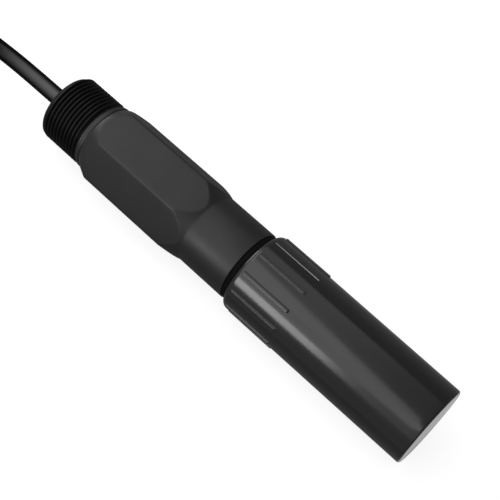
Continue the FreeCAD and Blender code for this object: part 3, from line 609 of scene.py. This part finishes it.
def build_sleeve(shape):
    spin(shape, end_point - end_way * SLEEVE_OVERLAP, end_way, SLEEVE_PROFILE, 36)


sleeve = mesh_piece("shrink_sleeve", build_sleeve, sleeve_black)
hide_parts("end_sleeve")
on_cable = [sleeve]
tips = []
for (name, colour), place, (x, y) in zip(CORE_COLOURS.items(), CORE_PLACES, CORE_TIPS):
    start = end_point - across * place[0] * CORE_OFFSET + up * place[1] * CORE_OFFSET
    leave = start + end_way * CORE_STRAIGHT
    fall = Vector(((leave.x * 2 + x) / 3, (leave.y + 2 * y) / 3, TIP_HEIGHT))
    tip = Vector((x, y, TIP_HEIGHT))
    way_out = [start, leave, fall, tip]
    core = cable_curve(name + "_wire", way_out, CORE_RADIUS, core_finishes[name], smoothness=10)
    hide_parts(name)
    tips.append((tip, tip - fall))
    on_cable.append(core)


def build_ferrules(shape):
    for tip, way in tips:
        spin(shape, tip, way, FERRULE_PROFILE, 20)


ferrules = mesh_piece("crimped_ferrules", build_ferrules, ferrule_tin)
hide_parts("ferrules")
on_cable.append(ferrules)
print("made", len(on_cable), "pieces on the cable's end")

# %% [markdown]
# ## The ties round the hank
#
# A strap goes round each side of the hank, pulled tight through its small head. Each is a closed loop with
# rounded corners: a rounded rectangle as the path, swept with a thin strap section that has a shallow channel
# along its face.

# %% Hank ties
TIE_WIDTH = 4.0
TIE_THICKNESS = 0.75
TIE_CORNER = 2.2
TIE_HALF = CABLE_WIDTH + 0.02
HEAD_SIZE = (5.2, 2.6, 4.4)
HEAD_HEIGHT = HANK_LOW + 3.4 * CABLE_WIDTH
TAIL_SIZE = (3.6, 0.9, 3.0)
TAIL_OUT = 0.3
TAIL_RISE = 3.0
HANK_MIDDLE = (HANK_NEAR_X + HANK_FAR_X) / 2


def strap_path(half_width, low, high, corner, per_corner=7, per_side=16):
    """A rounded rectangle in the plane across the hank, as (across, up, normal across, normal up)."""
    path = []
    sides = [
        (half_width - corner, low + corner, -90),
        (half_width - corner, high - corner, 0),
        (-half_width + corner, high - corner, 90),
        (-half_width + corner, low + corner, 180),
    ]
    for number, (cx, cz, start_angle) in enumerate(sides):
        for step in range(per_corner):
            a = math.radians(start_angle + 90 * step / (per_corner - 1))
            path.append((cx + corner * math.cos(a), cz + corner * math.sin(a), math.cos(a), math.sin(a)))
        after = sides[(number + 1) % 4]
        end_angle = math.radians(start_angle + 90)
        first = (cx + corner * math.cos(end_angle), cz + corner * math.sin(end_angle))
        last = (after[0] + corner * math.cos(end_angle), after[1] + corner * math.sin(end_angle))
        for step in range(1, per_side):
            share_done = step / per_side
            y = first[0] + (last[0] - first[0]) * share_done
            z = first[1] + (last[1] - first[1]) * share_done
            path.append((y, z, math.cos(end_angle), math.sin(end_angle)))
    return path


def build_tie(shape, centre_y):
    low = HANK_LOW - CABLE_RADIUS
    high = low + LAYERS * CABLE_WIDTH
    w, t = TIE_WIDTH / 2, TIE_THICKNESS
    section = [(-w, 0.05), (-w, t - 0.2), (-w + 0.2, t), (-1.0, t), (-0.9, t - 0.12)]
    section += [(-across, out) for across, out in reversed(section)]
    rings = []
    for y, z, ny, nz in strap_path(TIE_HALF, low, high, TIE_CORNER):
        rings.append([(HANK_MIDDLE + sx, centre_y + y + ny * out, z + nz * out) for sx, out in section])
    rings.append(rings[0])
    skin_rings(shape, rings)


def rounded_block(shape, size, centre, rounding, segments):
    made = bmesh.ops.create_cube(shape, size=1.0)["verts"]
    bmesh.ops.scale(shape, vec=size, verts=made)
    bmesh.ops.translate(shape, vec=centre, verts=made)
    edges = list({edge for vert in made for edge in vert.link_edges})
    bmesh.ops.bevel(shape, geom=edges, offset=rounding, segments=segments, affect="EDGES", profile=0.5)


def build_head(shape, centre_y, side):
    """The strap's head, a rounded block on the outer face, with the strap's cut end standing out of it."""
    centre = Vector((HANK_MIDDLE, centre_y + side * (TIE_HALF + HEAD_SIZE[1] / 2), HEAD_HEIGHT))
    rounded_block(shape, HEAD_SIZE, centre, 0.5, 3)
    rounded_block(shape, TAIL_SIZE, centre + Vector((0.0, side * TAIL_OUT, TAIL_RISE)), 0.15, 2)


def build_ties(shape):
    middle = (OUTER_BEND + INNER_BEND) / 2
    for side in (1, -1):
        build_tie(shape, HANK_Y + side * middle)
        build_head(shape, HANK_Y + side * middle, side)


ties = mesh_piece("hank_ties", build_ties, tie_black)
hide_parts("coil_ties")
on_cable.append(ties)
for piece in on_cable:
    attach(piece, "sensor")
print("declared the cable with", len(on_cable), "pieces on it")

# %% [markdown]
# ## The housing
#
# The housing is one moulding that starts round, becomes six-sided and ends round. Two cones blend the
# hexagon into its neighbours, and where its flats cut the cones they leave curved edges. A boolean of a prism
# and a turned blank would give that shape with ragged faces. Here it is skinned from rings instead: every
# ring has its points at the same angles, and the rings beside the cones follow the curved edges themselves,
# so the edges are crisp and every face is clean.
#
# The thread is a true helix in the same skin. Its rings climb by one pitch in a turn, so each ring's end
# meets the start of the ring one pitch further on.

# %% Stations and radii of the housing
REAR_END = -81.25
RELIEF = -64.55
COLLAR = -63.65
REAR_CONE = -62.25
HEX_REAR = -56.35
HEX_FRONT = -22.25
NECK = -14.35
SHOULDER = 4.85
SPIGOT_END = 26.85
MOUTH = 6.65
CAP_END = 81.25
THREAD_RADIUS = 12.5
THREAD_ROOT = 11.62
THREAD_PITCH = 1.5
THREAD_CHAMFER = 1.0
RELIEF_RADIUS = 12.1
COLLAR_RADIUS = 12.6
FLAT_REACH = 13.35
CORNER_REACH = FLAT_REACH / math.cos(math.radians(30))
CORNER_ROUND = 1.15
COLLAR_LINE_WIDTH = 0.35
COLLAR_LINE_DEPTH = 0.25
NECK_RADIUS = 13.05
SPIGOT_RADIUS = 11.4
GROOVE_RADIUS = 10.0
GROOVE_WIDTH = 2.0
GROOVES = (8.0, 15.0)
CAVITY_RADIUS = 8.6
CAVITY_END = -65.75
CORE_HOLE_RADIUS = 3.3
POCKET_RADIUS = 7.2
POCKET_FLOOR = REAR_END + 13.0
ROLL = 15.0
FLAT_COLUMNS = 14
CORNER_COLUMNS = 6
# Angle in radians from a flat's middle to where its rounded corner starts
FLAT_EDGE = math.atan((FLAT_REACH - CORNER_ROUND) * math.tan(math.radians(30)) / FLAT_REACH)


def column_angles():
    """Angles of the skin's columns from a flat's middle, closer together at the hexagon's corners."""
    edge = math.degrees(FLAT_EDGE)
    angles = []
    for middle in range(0, 360, 60):
        for step in range(FLAT_COLUMNS):
            angles.append(middle - edge + 2 * edge * step / FLAT_COLUMNS)
        for step in range(CORNER_COLUMNS):
            angles.append(middle + edge + (60 - 2 * edge) * step / CORNER_COLUMNS)
    return angles


COLUMNS = column_angles()
# The same columns and the first once more, a full turn on, where a turn of the thread ends
CLOSED_COLUMNS = COLUMNS + [COLUMNS[0] + 360]


def hexagon_reach(angle):
    """Distance from the axis to the hexagon at an angle from a flat's middle, its corners rounded."""
    off = (angle + 30) % 60 - 30
    reach = FLAT_REACH / math.cos(math.radians(off))
    corner_centre = (FLAT_REACH - CORNER_ROUND) / math.cos(math.radians(30))
    from_corner = math.radians(30 - abs(off))
    inside = CORNER_ROUND**2 - (corner_centre * math.sin(from_corner)) ** 2
    if math.radians(abs(off)) > FLAT_EDGE and inside > 0:
        reach = corner_centre * math.cos(from_corner) + math.sqrt(inside)
    return reach


def polar(x, angle, radius):
    """A point at an angle about the probe's axis; the angle starts at a flat's middle, rolled with it."""
    a = math.radians(angle + ROLL)
    return (x, -radius * math.sin(a), AXIS_HEIGHT + radius * math.cos(a))


def round_ring(x, radius, angles):
    return [polar(x, angle, radius) for angle in angles]


# %% Softened corners
MOULDED_SOFT = 0.35
COLLAR_SOFT = 0.14
CAP_SOFT = 0.5
SEAL_SOFT = 0.3


def softened(profile, radius, steps=3):
    """A profile with each corner replaced by a small arc, so that it catches the light."""
    result = [profile[0]]
    for before, here, after in zip(profile, profile[1:], profile[2:]):
        a = Vector((before[0] - here[0], before[1] - here[1]))
        b = Vector((after[0] - here[0], after[1] - here[1]))
        cut = min(radius, a.length * 0.45, b.length * 0.45)
        start = Vector(here) + a.normalized() * cut
        end = Vector(here) + b.normalized() * cut
        for step in range(steps + 1):
            t = step / steps
            point = start * (1 - t) ** 2 + Vector(here) * 2 * t * (1 - t) + end * t**2
            result.append((point.x, point.y))
    result.append(profile[-1])
    return result


# %% Thread rings
# One turn of the thread as (share of the pitch, share of the height), and its runout's length in pitches
THREAD_FORM = [
    (-0.10, 0.9), (-0.07, 1.0), (0.07, 1.0), (0.10, 0.9),
    (0.38, 0.1), (0.42, 0.0), (0.58, 0.0), (0.62, 0.1),
]
RUNOUT = 0.6


def thread_rings():
    """Rings that climb one pitch in a turn, cut by the end chamfer and run out into the relief."""
    turns = math.ceil((RELIEF - REAR_END) / THREAD_PITCH) + 1
    rings = []
    for turn_number in range(-1, turns):
        for phase, share_up in THREAD_FORM:
            ring = []
            for angle in CLOSED_COLUMNS:
                x = REAR_END + THREAD_PITCH * (turn_number + phase + (angle - COLUMNS[0]) / 360)
                radius = THREAD_ROOT + (THREAD_RADIUS - THREAD_ROOT) * share_up
                to_relief = (RELIEF - x) / (RUNOUT * THREAD_PITCH)
                if to_relief < 1:
                    fade = 1 - max(to_relief, 0)
                    radius = max(radius, THREAD_ROOT + (RELIEF_RADIUS - THREAD_ROOT) * fade)
                    radius = min(radius, RELIEF_RADIUS + (THREAD_RADIUS - RELIEF_RADIUS) * (1 - fade))
                x = min(max(x, REAR_END), RELIEF)
                radius = min(radius, THREAD_RADIUS - THREAD_CHAMFER + (x - REAR_END))
                ring.append(polar(x, angle, radius))
            rings.append(ring)
    return rings


# %% Housing skin
EDGE_SOFT = 0.45
# Across a curved edge: the way along the axis, and the share of the edge's height that is rounded off
EDGE_STEPS = ((-1.0, 1.0), (-1 / 3, 0.5), (1 / 3, 0.12), (1.0, 0.0))


def cone_rings(foot_x, foot_radius, top_x, outwards):
    """Rings of a cone from its foot to the curved edge where the hexagon's flats cut it, and just past it."""
    slope = (CORNER_REACH - foot_radius) / abs(top_x - foot_x)
    rings = []
    for share_done in (0.12, 0.5, 0.85):
        ring = []
        for angle in CLOSED_COLUMNS:
            rise = hexagon_reach(angle) - foot_radius
            run = max(rise / slope - EDGE_SOFT, 0.05) * share_done
            ring.append(polar(foot_x + outwards * run, angle, foot_radius + run * slope))
        rings.append(ring)
    for way, rounded_off in EDGE_STEPS:
        ring = []
        for angle in CLOSED_COLUMNS:
            reach = hexagon_reach(angle)
            run = (reach - foot_radius) / slope + way * EDGE_SOFT
            drop = min(slope * EDGE_SOFT * rounded_off, reach - foot_radius)
            ring.append(polar(foot_x + outwards * run, angle, reach - drop))
        rings.append(ring)
    return rings if outwards > 0 else rings[::-1]


def turned(profile, softness):
    return [round_ring(x, r, CLOSED_COLUMNS) for x, r in softened(profile, softness)]


def hexagon_rings():
    """Rings along the flats, between the curved edges of the two cones."""
    rear_run = (HEX_REAR - REAR_CONE) / (CORNER_REACH - COLLAR_RADIUS)
    front_run = (NECK - HEX_FRONT) / (CORNER_REACH - NECK_RADIUS)
    rings = []
    for share_done in (0.25, 0.5, 0.75):
        ring = []
        for angle in CLOSED_COLUMNS:
            reach = hexagon_reach(angle)
            x_rear = REAR_CONE + (reach - COLLAR_RADIUS) * rear_run
            x_front = NECK - (reach - NECK_RADIUS) * front_run
            ring.append(polar(x_rear + (x_front - x_rear) * share_done, angle, reach))
        rings.append(ring)
    return rings


def front_profile():
    """The neck, the spigot with its grooves, and back through the cavity to the pocket in the rear end."""
    profile = [(NECK + 6.0, NECK_RADIUS), (SHOULDER, NECK_RADIUS), (SHOULDER, SPIGOT_RADIUS)]
    for start in (SHOULDER + groove for groove in GROOVES):
        profile += [(start, SPIGOT_RADIUS), (start, GROOVE_RADIUS)]
        profile += [(start + GROOVE_WIDTH, GROOVE_RADIUS), (start + GROOVE_WIDTH, SPIGOT_RADIUS)]
    profile += [(SPIGOT_END, SPIGOT_RADIUS), (SPIGOT_END, CAVITY_RADIUS), (CAVITY_END, CAVITY_RADIUS)]
    profile += [(CAVITY_END, CORE_HOLE_RADIUS), (POCKET_FLOOR, CORE_HOLE_RADIUS)]
    return profile + [(POCKET_FLOOR, POCKET_RADIUS)]


def build_housing(shape):
    rear = [(POCKET_FLOOR, POCKET_RADIUS), (REAR_END, POCKET_RADIUS)]
    rear.append((REAR_END, THREAD_RADIUS - THREAD_CHAMFER))
    line_start = REAR_CONE - COLLAR_LINE_WIDTH
    collar = [
        (RELIEF, RELIEF_RADIUS),
        (COLLAR, RELIEF_RADIUS),
        (COLLAR, COLLAR_RADIUS),
        (line_start, COLLAR_RADIUS),
        (line_start, COLLAR_RADIUS - COLLAR_LINE_DEPTH),
        (REAR_CONE, COLLAR_RADIUS - COLLAR_LINE_DEPTH),
        (REAR_CONE, COLLAR_RADIUS),
    ]
    rings = turned(rear, MOULDED_SOFT) + thread_rings() + turned(collar, COLLAR_SOFT)
    rings += cone_rings(REAR_CONE, COLLAR_RADIUS, HEX_REAR, 1)
    rings += hexagon_rings()
    rings += cone_rings(NECK, NECK_RADIUS, HEX_FRONT, -1)
    for x, radius in ((NECK + 0.15, NECK_RADIUS + 0.005), (NECK + 0.6, NECK_RADIUS)):
        rings.append(round_ring(x, radius, CLOSED_COLUMNS))
    rings += turned(front_profile(), MOULDED_SOFT)
    rows = [[shape.verts.new(point) for point in ring] for ring in rings]
    for first, second in zip(rows, rows[1:]):
        for i in range(len(first) - 1):
            shape.faces.new((first[i], first[i + 1], second[i + 1], second[i]))


housing_body = mesh_piece("housing_body", build_housing, housing_black, sharp=50.0)
# The thread's faces take the second material, the painted shade of its grooves
housing_body.data.materials.append(thread_painted_shade)
for polygon in housing_body.data.polygons:
    if REAR_END + THREAD_CHAMFER < polygon.center.x / MM < RELIEF:
        polygon.material_index = 1
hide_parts("housing")
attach(housing_body, "sensor")
print(housing_body.name, "has", len(housing_body.data.polygons), "faces")

# %% [markdown]
# ## The cap
#
# The cap is a long moulded cup with a rounded mouth and a slight taper, which lets it leave its mould. Twelve
# low ribs at the mouth give grip. They start at once beside the rounded mouth and run out in a short slope.
# Ribs as separate bars would leave a seam all round, so they are raised out of the same skin: the columns
# stand close together at each rib, and the radius there is the cup's plus the rib's height.

# %% Cap skin
RIB_COUNT = 12
COLUMNS_BETWEEN_RIBS = 5
RIB_CREST = 15.17
RIB_START = 8.95
RIB_END = 27.85
RIB_SLOPE = 0.2
RIB_RUNOUT = 0.4
CAP_MOUTH_RADIUS = 14.74
CAP_END_RADIUS = 14.4
CAP_MOUTH_ROUND = 2.0
CAP_END_ROUND = 0.8
CAP_FLOOR = 78.65
CAP_WIDE_RADIUS = 12.3
CAP_BORE_END = 29.65
CAP_BORE_RADIUS = 11.6
CAP_LIP_RADIUS = 13.0
# Half a rib's section as (way round the cap, share of the rib's height)
RIB_SECTION = [
    (-0.78, 0.0), (-0.66, 0.0), (-0.61, 0.12), (-0.57, 0.6), (-0.5, 0.9), (-0.38, 1.0), (0.0, 1.0),
]
RIB_SECTION += [(-u, share_up) for u, share_up in reversed(RIB_SECTION[:-1])]


def cap_columns():
    """(angle, rib share) of every column of the cap."""
    columns = []
    step_angle = 360 / RIB_COUNT
    for rib in range(RIB_COUNT):
        for u, share_up in RIB_SECTION:
            columns.append((rib * step_angle + math.degrees(u / RIB_CREST), share_up))
        edge = math.degrees(RIB_SECTION[-1][0] / RIB_CREST)
        apart = (step_angle - 2 * edge) / (COLUMNS_BETWEEN_RIBS + 1)
        for step in range(COLUMNS_BETWEEN_RIBS):
            columns.append((rib * step_angle + edge + apart * (step + 1), 0.0))
    return columns


def rib_envelope(x):
    if x < RIB_START - RIB_SLOPE / 2 or x > RIB_END:
        return 0.0
    if x < RIB_START + RIB_SLOPE / 2:
        return (x - RIB_START + RIB_SLOPE / 2) / RIB_SLOPE
    if x > RIB_END - RIB_RUNOUT:
        return (RIB_END - x) / RIB_RUNOUT
    return 1.0


def arc_profile(centre_x, centre_r, radius, start, end, steps):
    points = []
    for step in range(steps + 1):
        a = math.radians(start + (end - start) * step / steps)
        points.append((centre_x + radius * math.cos(a), centre_r + radius * math.sin(a)))
    return points


def cap_surface(x):
    return CAP_MOUTH_RADIUS - (CAP_MOUTH_RADIUS - CAP_END_RADIUS) * (x - MOUTH) / (CAP_END - MOUTH)


def cap_profile():
    """(x, radius) of the cap's rings, from its floor inside round the mouth to the closed end outside."""
    inside = [(CAP_FLOOR, 0.0), (CAP_FLOOR, CAP_WIDE_RADIUS), (CAP_BORE_END, CAP_WIDE_RADIUS)]
    inside += [(CAP_BORE_END, CAP_BORE_RADIUS), (MOUTH, CAP_BORE_RADIUS), (MOUTH, CAP_LIP_RADIUS)]
    round_x = MOUTH + CAP_MOUTH_ROUND
    round_radius = cap_surface(round_x) - CAP_MOUTH_ROUND
    places = [RIB_START + offset for offset in (-0.2, -0.1, -0.05, 0.05, 0.1, 0.3)]
    places += [9.8, 12, 16, 20, 24, 27.0, 27.3]
    places += [RIB_END - RIB_RUNOUT * share_left for share_left in (1.0, 0.85, 0.5, 0.15, 0.0)]
    places += [27.92, 28.1, 29, 33, 40, 48, 56, 64, 72, 78, CAP_END - CAP_END_ROUND]
    mouth = arc_profile(round_x, round_radius, CAP_MOUTH_ROUND, 180, 90, 10)
    profile = softened(inside, CAP_SOFT, 4)
    profile += [point for point in mouth if point[0] < places[0] - 0.02]
    profile += [(x, cap_surface(x)) for x in places]
    end_x = CAP_END - CAP_END_ROUND
    profile += arc_profile(end_x, CAP_END_RADIUS - CAP_END_ROUND, CAP_END_ROUND, 90, 0, 6)[1:]
    return profile + [(CAP_END, radius) for radius in (CAP_END_RADIUS - 2.0, 9.0, 4.0, 0.0)]


def build_cap(shape):
    columns = cap_columns()
    rings = []
    for x, radius in cap_profile():
        height = (RIB_CREST - radius) * rib_envelope(x) if radius > CAP_LIP_RADIUS else 0.0
        rings.append([polar(x, angle, radius + height * share_up) for angle, share_up in columns])
    skin_rings(shape, rings)


cap_shell = mesh_piece("cap_shell", build_cap, cap_black, sharp=60.0)
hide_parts("cap")
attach(cap_shell, "cap")
print(cap_shell.name, "has", len(cap_shell.data.polygons), "faces")

# %% [markdown]
# ## The seal ring
#
# A flat rubber ring fills the gap between the neck and the cap. Squeezed a little, its outside bulges, and
# its edges are round.

# %% Seal ring
SEAL_REAR = 4.9
SEAL_FRONT = 6.6
SEAL_BORE = 11.45
SEAL_RADIUS = 12.8
SEAL_BULGE = 0.02


def build_seal(shape):
    middle = (SEAL_REAR + SEAL_FRONT) / 2
    profile = [(middle, SEAL_BORE), (SEAL_REAR, SEAL_BORE), (SEAL_REAR, SEAL_RADIUS)]
    profile += [(middle, SEAL_RADIUS + SEAL_BULGE), (SEAL_FRONT, SEAL_RADIUS)]
    profile += [(SEAL_FRONT, SEAL_BORE), (middle, SEAL_BORE)]
    skin_rings(shape, [round_ring(x, r, COLUMNS) for x, r in softened(profile, SEAL_SOFT, 4)])


seal_ring = mesh_piece("seal_ring", build_seal, seal_black)
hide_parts("cap_seal_ring")
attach(seal_ring, "seal")
print("made", seal_ring.name)

# %% [markdown]
# ## Parts that keep their frame shape
#
# The electrodes, rings, gland and electronics have the right shape already, so each only gets its finish: the
# material goes into the object's own slots, and the frame's mesh isn't touched.

# %% Finish the frame's own parts
FRAME_FINISHES = {
    "cell_insulator": insulator_beige,
    "outer_electrode": electrode_steel,
    "inner_electrode": electrode_steel,
    "temperature_element": bead_white,
    "insulator_o_ring": seal_black,
    "electrode_o_ring": seal_black,
    "rear_spigot_ring": seal_black,
    "front_spigot_ring": seal_black,
    "inner_lead": wire_grey,
    "outer_lead": wire_grey,
    "temperature_leads": wire_copper,
    "circuit_board": board_green,
    "amplifier_chip": chip_grey,
    "bus_chip": chip_grey,
    "board_parts": ceramic_tan,
    "front_resin": resin_black,
    "rear_resin": resin_black,
    "inner_cores": wire_grey,
    "cable_grommet": seal_black,
    "gland_washer": electrode_steel,
    "gland_screw": housing_black,
}
for name, material in FRAME_FINISHES.items():
    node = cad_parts[name]
    for slot in node.material_slots:
        slot.material = material
print("finished", len(FRAME_FINISHES), "frame parts")

# %% [markdown]
# ## Floor, background and light
#
# The picture has a plain white background. The floor is pale, and a glow that only the camera sees takes it
# almost to white, so that a faint shadow stays. The world is white where the camera, a reflection or a
# see-through part meets it, and dimmer as a light.
#
# Black plastic shows little but what it mirrors. Four soft panels make its highlights: a large one above the
# near side for the broad band, a low one for the bright stripe, one behind the cable for the threaded end and
# one overhead for the hexagon. Cards that only reflections show set the tones between them: a grey wall
# behind the probe, a dark one beyond its closed end, a pale sheet in front, a small bright strip on the floor
# at the cap's end, a dark one behind the hexagon, and a sheet overhead that fades towards the closed end.

# %% Floor
FLOOR_HALF = 2.5
FLOOR_GREY = 0.3
GLOW_SEEN = 0.82
GLOW_REFLECTED = 0.01


def level_sheet(x_span, y_span, z):
    """The corners of a level rectangle, in order round it."""
    (x_low, x_high), (y_low, y_high) = x_span, y_span
    return [(x_low, y_low, z), (x_high, y_low, z), (x_high, y_high, z), (x_low, y_high, z)]


def sheet_piece(name, corners, paint):
    """A flat sheet of the studio, with its own material."""
    mesh = bpy.data.meshes.new(name)
    mesh.from_pydata(corners, [], [(0, 1, 2, 3)])
    mesh.materials.append(paint)
    piece = bpy.data.objects.new(name, mesh)
    bpy.context.scene.collection.objects.link(piece)
    return piece


def matt_paint(name, grey, roughness):
    paint = bpy.data.materials.new(name)
    paint.use_nodes = True
    shader = paint.node_tree.nodes["Principled BSDF"]
    shader.inputs["Base Color"].default_value = (grey, grey, grey, 1.0)
    shader.inputs["Roughness"].default_value = roughness
    return paint, shader


floor_paint, floor_shader = matt_paint("floor_paint", FLOOR_GREY, 0.9)
floor_shader.inputs["Specular IOR Level"].default_value = 0.0
floor_tree = floor_paint.node_tree
ray = floor_tree.nodes.new("ShaderNodeLightPath")
reflected = math_node(floor_tree, "MAXIMUM", ray.outputs["Is Glossy Ray"], ray.outputs["Is Transmission Ray"])
seen_glow = math_node(floor_tree, "MULTIPLY", ray.outputs["Is Camera Ray"], GLOW_SEEN)
reflected_glow = math_node(floor_tree, "MULTIPLY", reflected, GLOW_REFLECTED)
glow = floor_tree.nodes.new("ShaderNodeEmission")
glow.inputs["Color"].default_value = (1.0, 1.0, 1.0, 1.0)
link(floor_tree, math_node(floor_tree, "ADD", seen_glow, reflected_glow), glow.inputs["Strength"])
lit = floor_tree.nodes.new("ShaderNodeAddShader")
link(floor_tree, floor_shader.outputs[0], lit.inputs[0])
link(floor_tree, glow.outputs[0], lit.inputs[1])
link(floor_tree, lit.outputs[0], floor_tree.nodes["Material Output"].inputs["Surface"])
floor_span = (-FLOOR_HALF, FLOOR_HALF)
sheet_piece("floor", level_sheet(floor_span, floor_span, 0.0), floor_paint)
print("laid the floor")

# %% World
world = bpy.data.worlds.new("studio")
bpy.context.scene.world = world
world.use_nodes = True
world_tree = world.node_tree
sky = world_tree.nodes["Background"]
sky.inputs["Color"].default_value = (1.0, 1.0, 1.0, 1.0)
ray = world_tree.nodes.new("ShaderNodeLightPath")
seen = math_node(world_tree, "MAXIMUM", ray.outputs["Is Camera Ray"], ray.outputs["Is Glossy Ray"])
seen = math_node(world_tree, "MAXIMUM", seen, ray.outputs["Is Transmission Ray"])
AMBIENT = 0.5
strength = math_node(world_tree, "ADD", math_node(world_tree, "MULTIPLY", seen, 1.0 - AMBIENT), AMBIENT)
link(world_tree, strength, sky.inputs["Strength"])
print("made the world", world.name)


# %% Lamps
def panel(name, centre, facing_way, long_way, length, width, radiance):
    """A soft lamp of an even radiance. facing_way points from the lamp, long_way along its length."""
    lamp = bpy.data.lights.new(name, "AREA")
    lamp.shape = "RECTANGLE"
    lamp.size = length
    lamp.size_y = width
    lamp.energy = radiance * math.pi * length * width
    piece = bpy.data.objects.new(name, lamp)
    out = Vector(facing_way).normalized()
    side = (Vector(long_way) - out * out.dot(Vector(long_way))).normalized()
    up_way = out.cross(side)
    piece.matrix_world = Matrix.Translation(centre) @ Matrix((side, -up_way, -out)).transposed().to_4x4()
    piece.visible_camera = False
    bpy.context.scene.collection.objects.link(piece)


# The large panel hangs over the -Y side in a plane that faces the probe. Its far edge is slanted.
TILT = math.radians(36.0)
facing_out = Vector((0.0, -math.sin(TILT), math.cos(TILT)))
up_in_plane = Vector((0.0, math.cos(TILT), math.sin(TILT)))
panel(
    "large_panel",
    centre=Vector((-0.3135, 0.0, 0.015)) + facing_out * 0.7 - up_in_plane * 0.144,
    facing_way=-facing_out,
    long_way=Vector((0.581, 0.0, 0.0)) - up_in_plane * 0.814,
    length=0.84,
    width=0.75,
    radiance=1.4,
)
panel(
    "low_panel",
    centre=(-0.175, -0.603, 0.1115),
    facing_way=(0.0, 1.0, 0.035),
    long_way=(1.0, 0.0, 0.0),
    length=0.25,
    width=0.2,
    radiance=8.2,
)
panel(
    "rear_panel",
    centre=(-1.25, 0.2, 0.3),
    facing_way=(0.97, -0.15, -0.2),
    long_way=(0.0, 1.0, 0.0),
    length=0.8,
    width=0.45,
    radiance=3.4,
)
panel(
    "top_panel",
    centre=(-0.56, 0.0, 0.75),
    facing_way=(0.0, 0.0, -1.0),
    long_way=(1.0, 0.0, 0.0),
    length=0.56,
    width=0.5,
    radiance=1.65,
)
print("hung", len(bpy.data.lights), "panels")


# %% Cards
def card(name, corners, grey, glow_strength=0.0):
    """A sheet of the studio that only reflections show."""
    paint, shader = matt_paint(name, grey, 1.0)
    shader.inputs["Emission Strength"].default_value = glow_strength
    piece = sheet_piece(name, corners, paint)
    piece.visible_camera = False
    piece.visible_diffuse = False
    piece.visible_shadow = False
    piece.visible_transmission = False
    return paint.node_tree


# The wall's top edge rises towards the closed end, where it sets the cap's dark band
card("back_card", [(-1.2, 0.5, 0.0), (0.4, 0.5, 0.0), (0.4, 0.5, 0.98), (-1.2, 0.5, 0.3)], 0.42)
card("end_card", [(0.65, -0.9, 0.25), (0.65, 0.8, 0.25), (0.65, 0.8, 1.2), (0.65, -0.9, 1.2)], 0.18)
card("strip_card", level_sheet((0.0815, 0.095), (-0.012, 0.04), 0.0003), 0.3, 0.55)
card("front_card", level_sheet((-0.6, 0.3), (-0.7, -0.032), 0.0002), 0.5)
card("rear_strip_card", level_sheet((-0.1, -0.02), (0.016, 0.12), 0.0003), 0.19)

# The sheet overhead is bright above the hexagon and fades towards the cap's closed end
FADE_START = -0.12
FADE_END = 0.0
BRIGHT_GLOW = 1.28
DIM_GLOW = 0.51
ceiling_tree = card("top_card", level_sheet((-0.9, 0.6), (-0.9, 0.6), 0.9), 0.0)
where = ceiling_tree.nodes.new("ShaderNodeTexCoord")
split = ceiling_tree.nodes.new("ShaderNodeSeparateXYZ")
link(ceiling_tree, where.outputs["Object"], split.inputs["Vector"])
fade = ramp(ceiling_tree, split.outputs["X"], FADE_START, FADE_END, BRIGHT_GLOW, DIM_GLOW)
link(ceiling_tree, fade, ceiling_tree.nodes["Principled BSDF"].inputs["Emission Strength"])
bpy.context.scene.view_settings.view_transform = "Standard"
print("stood up the cards and the sheet overhead")
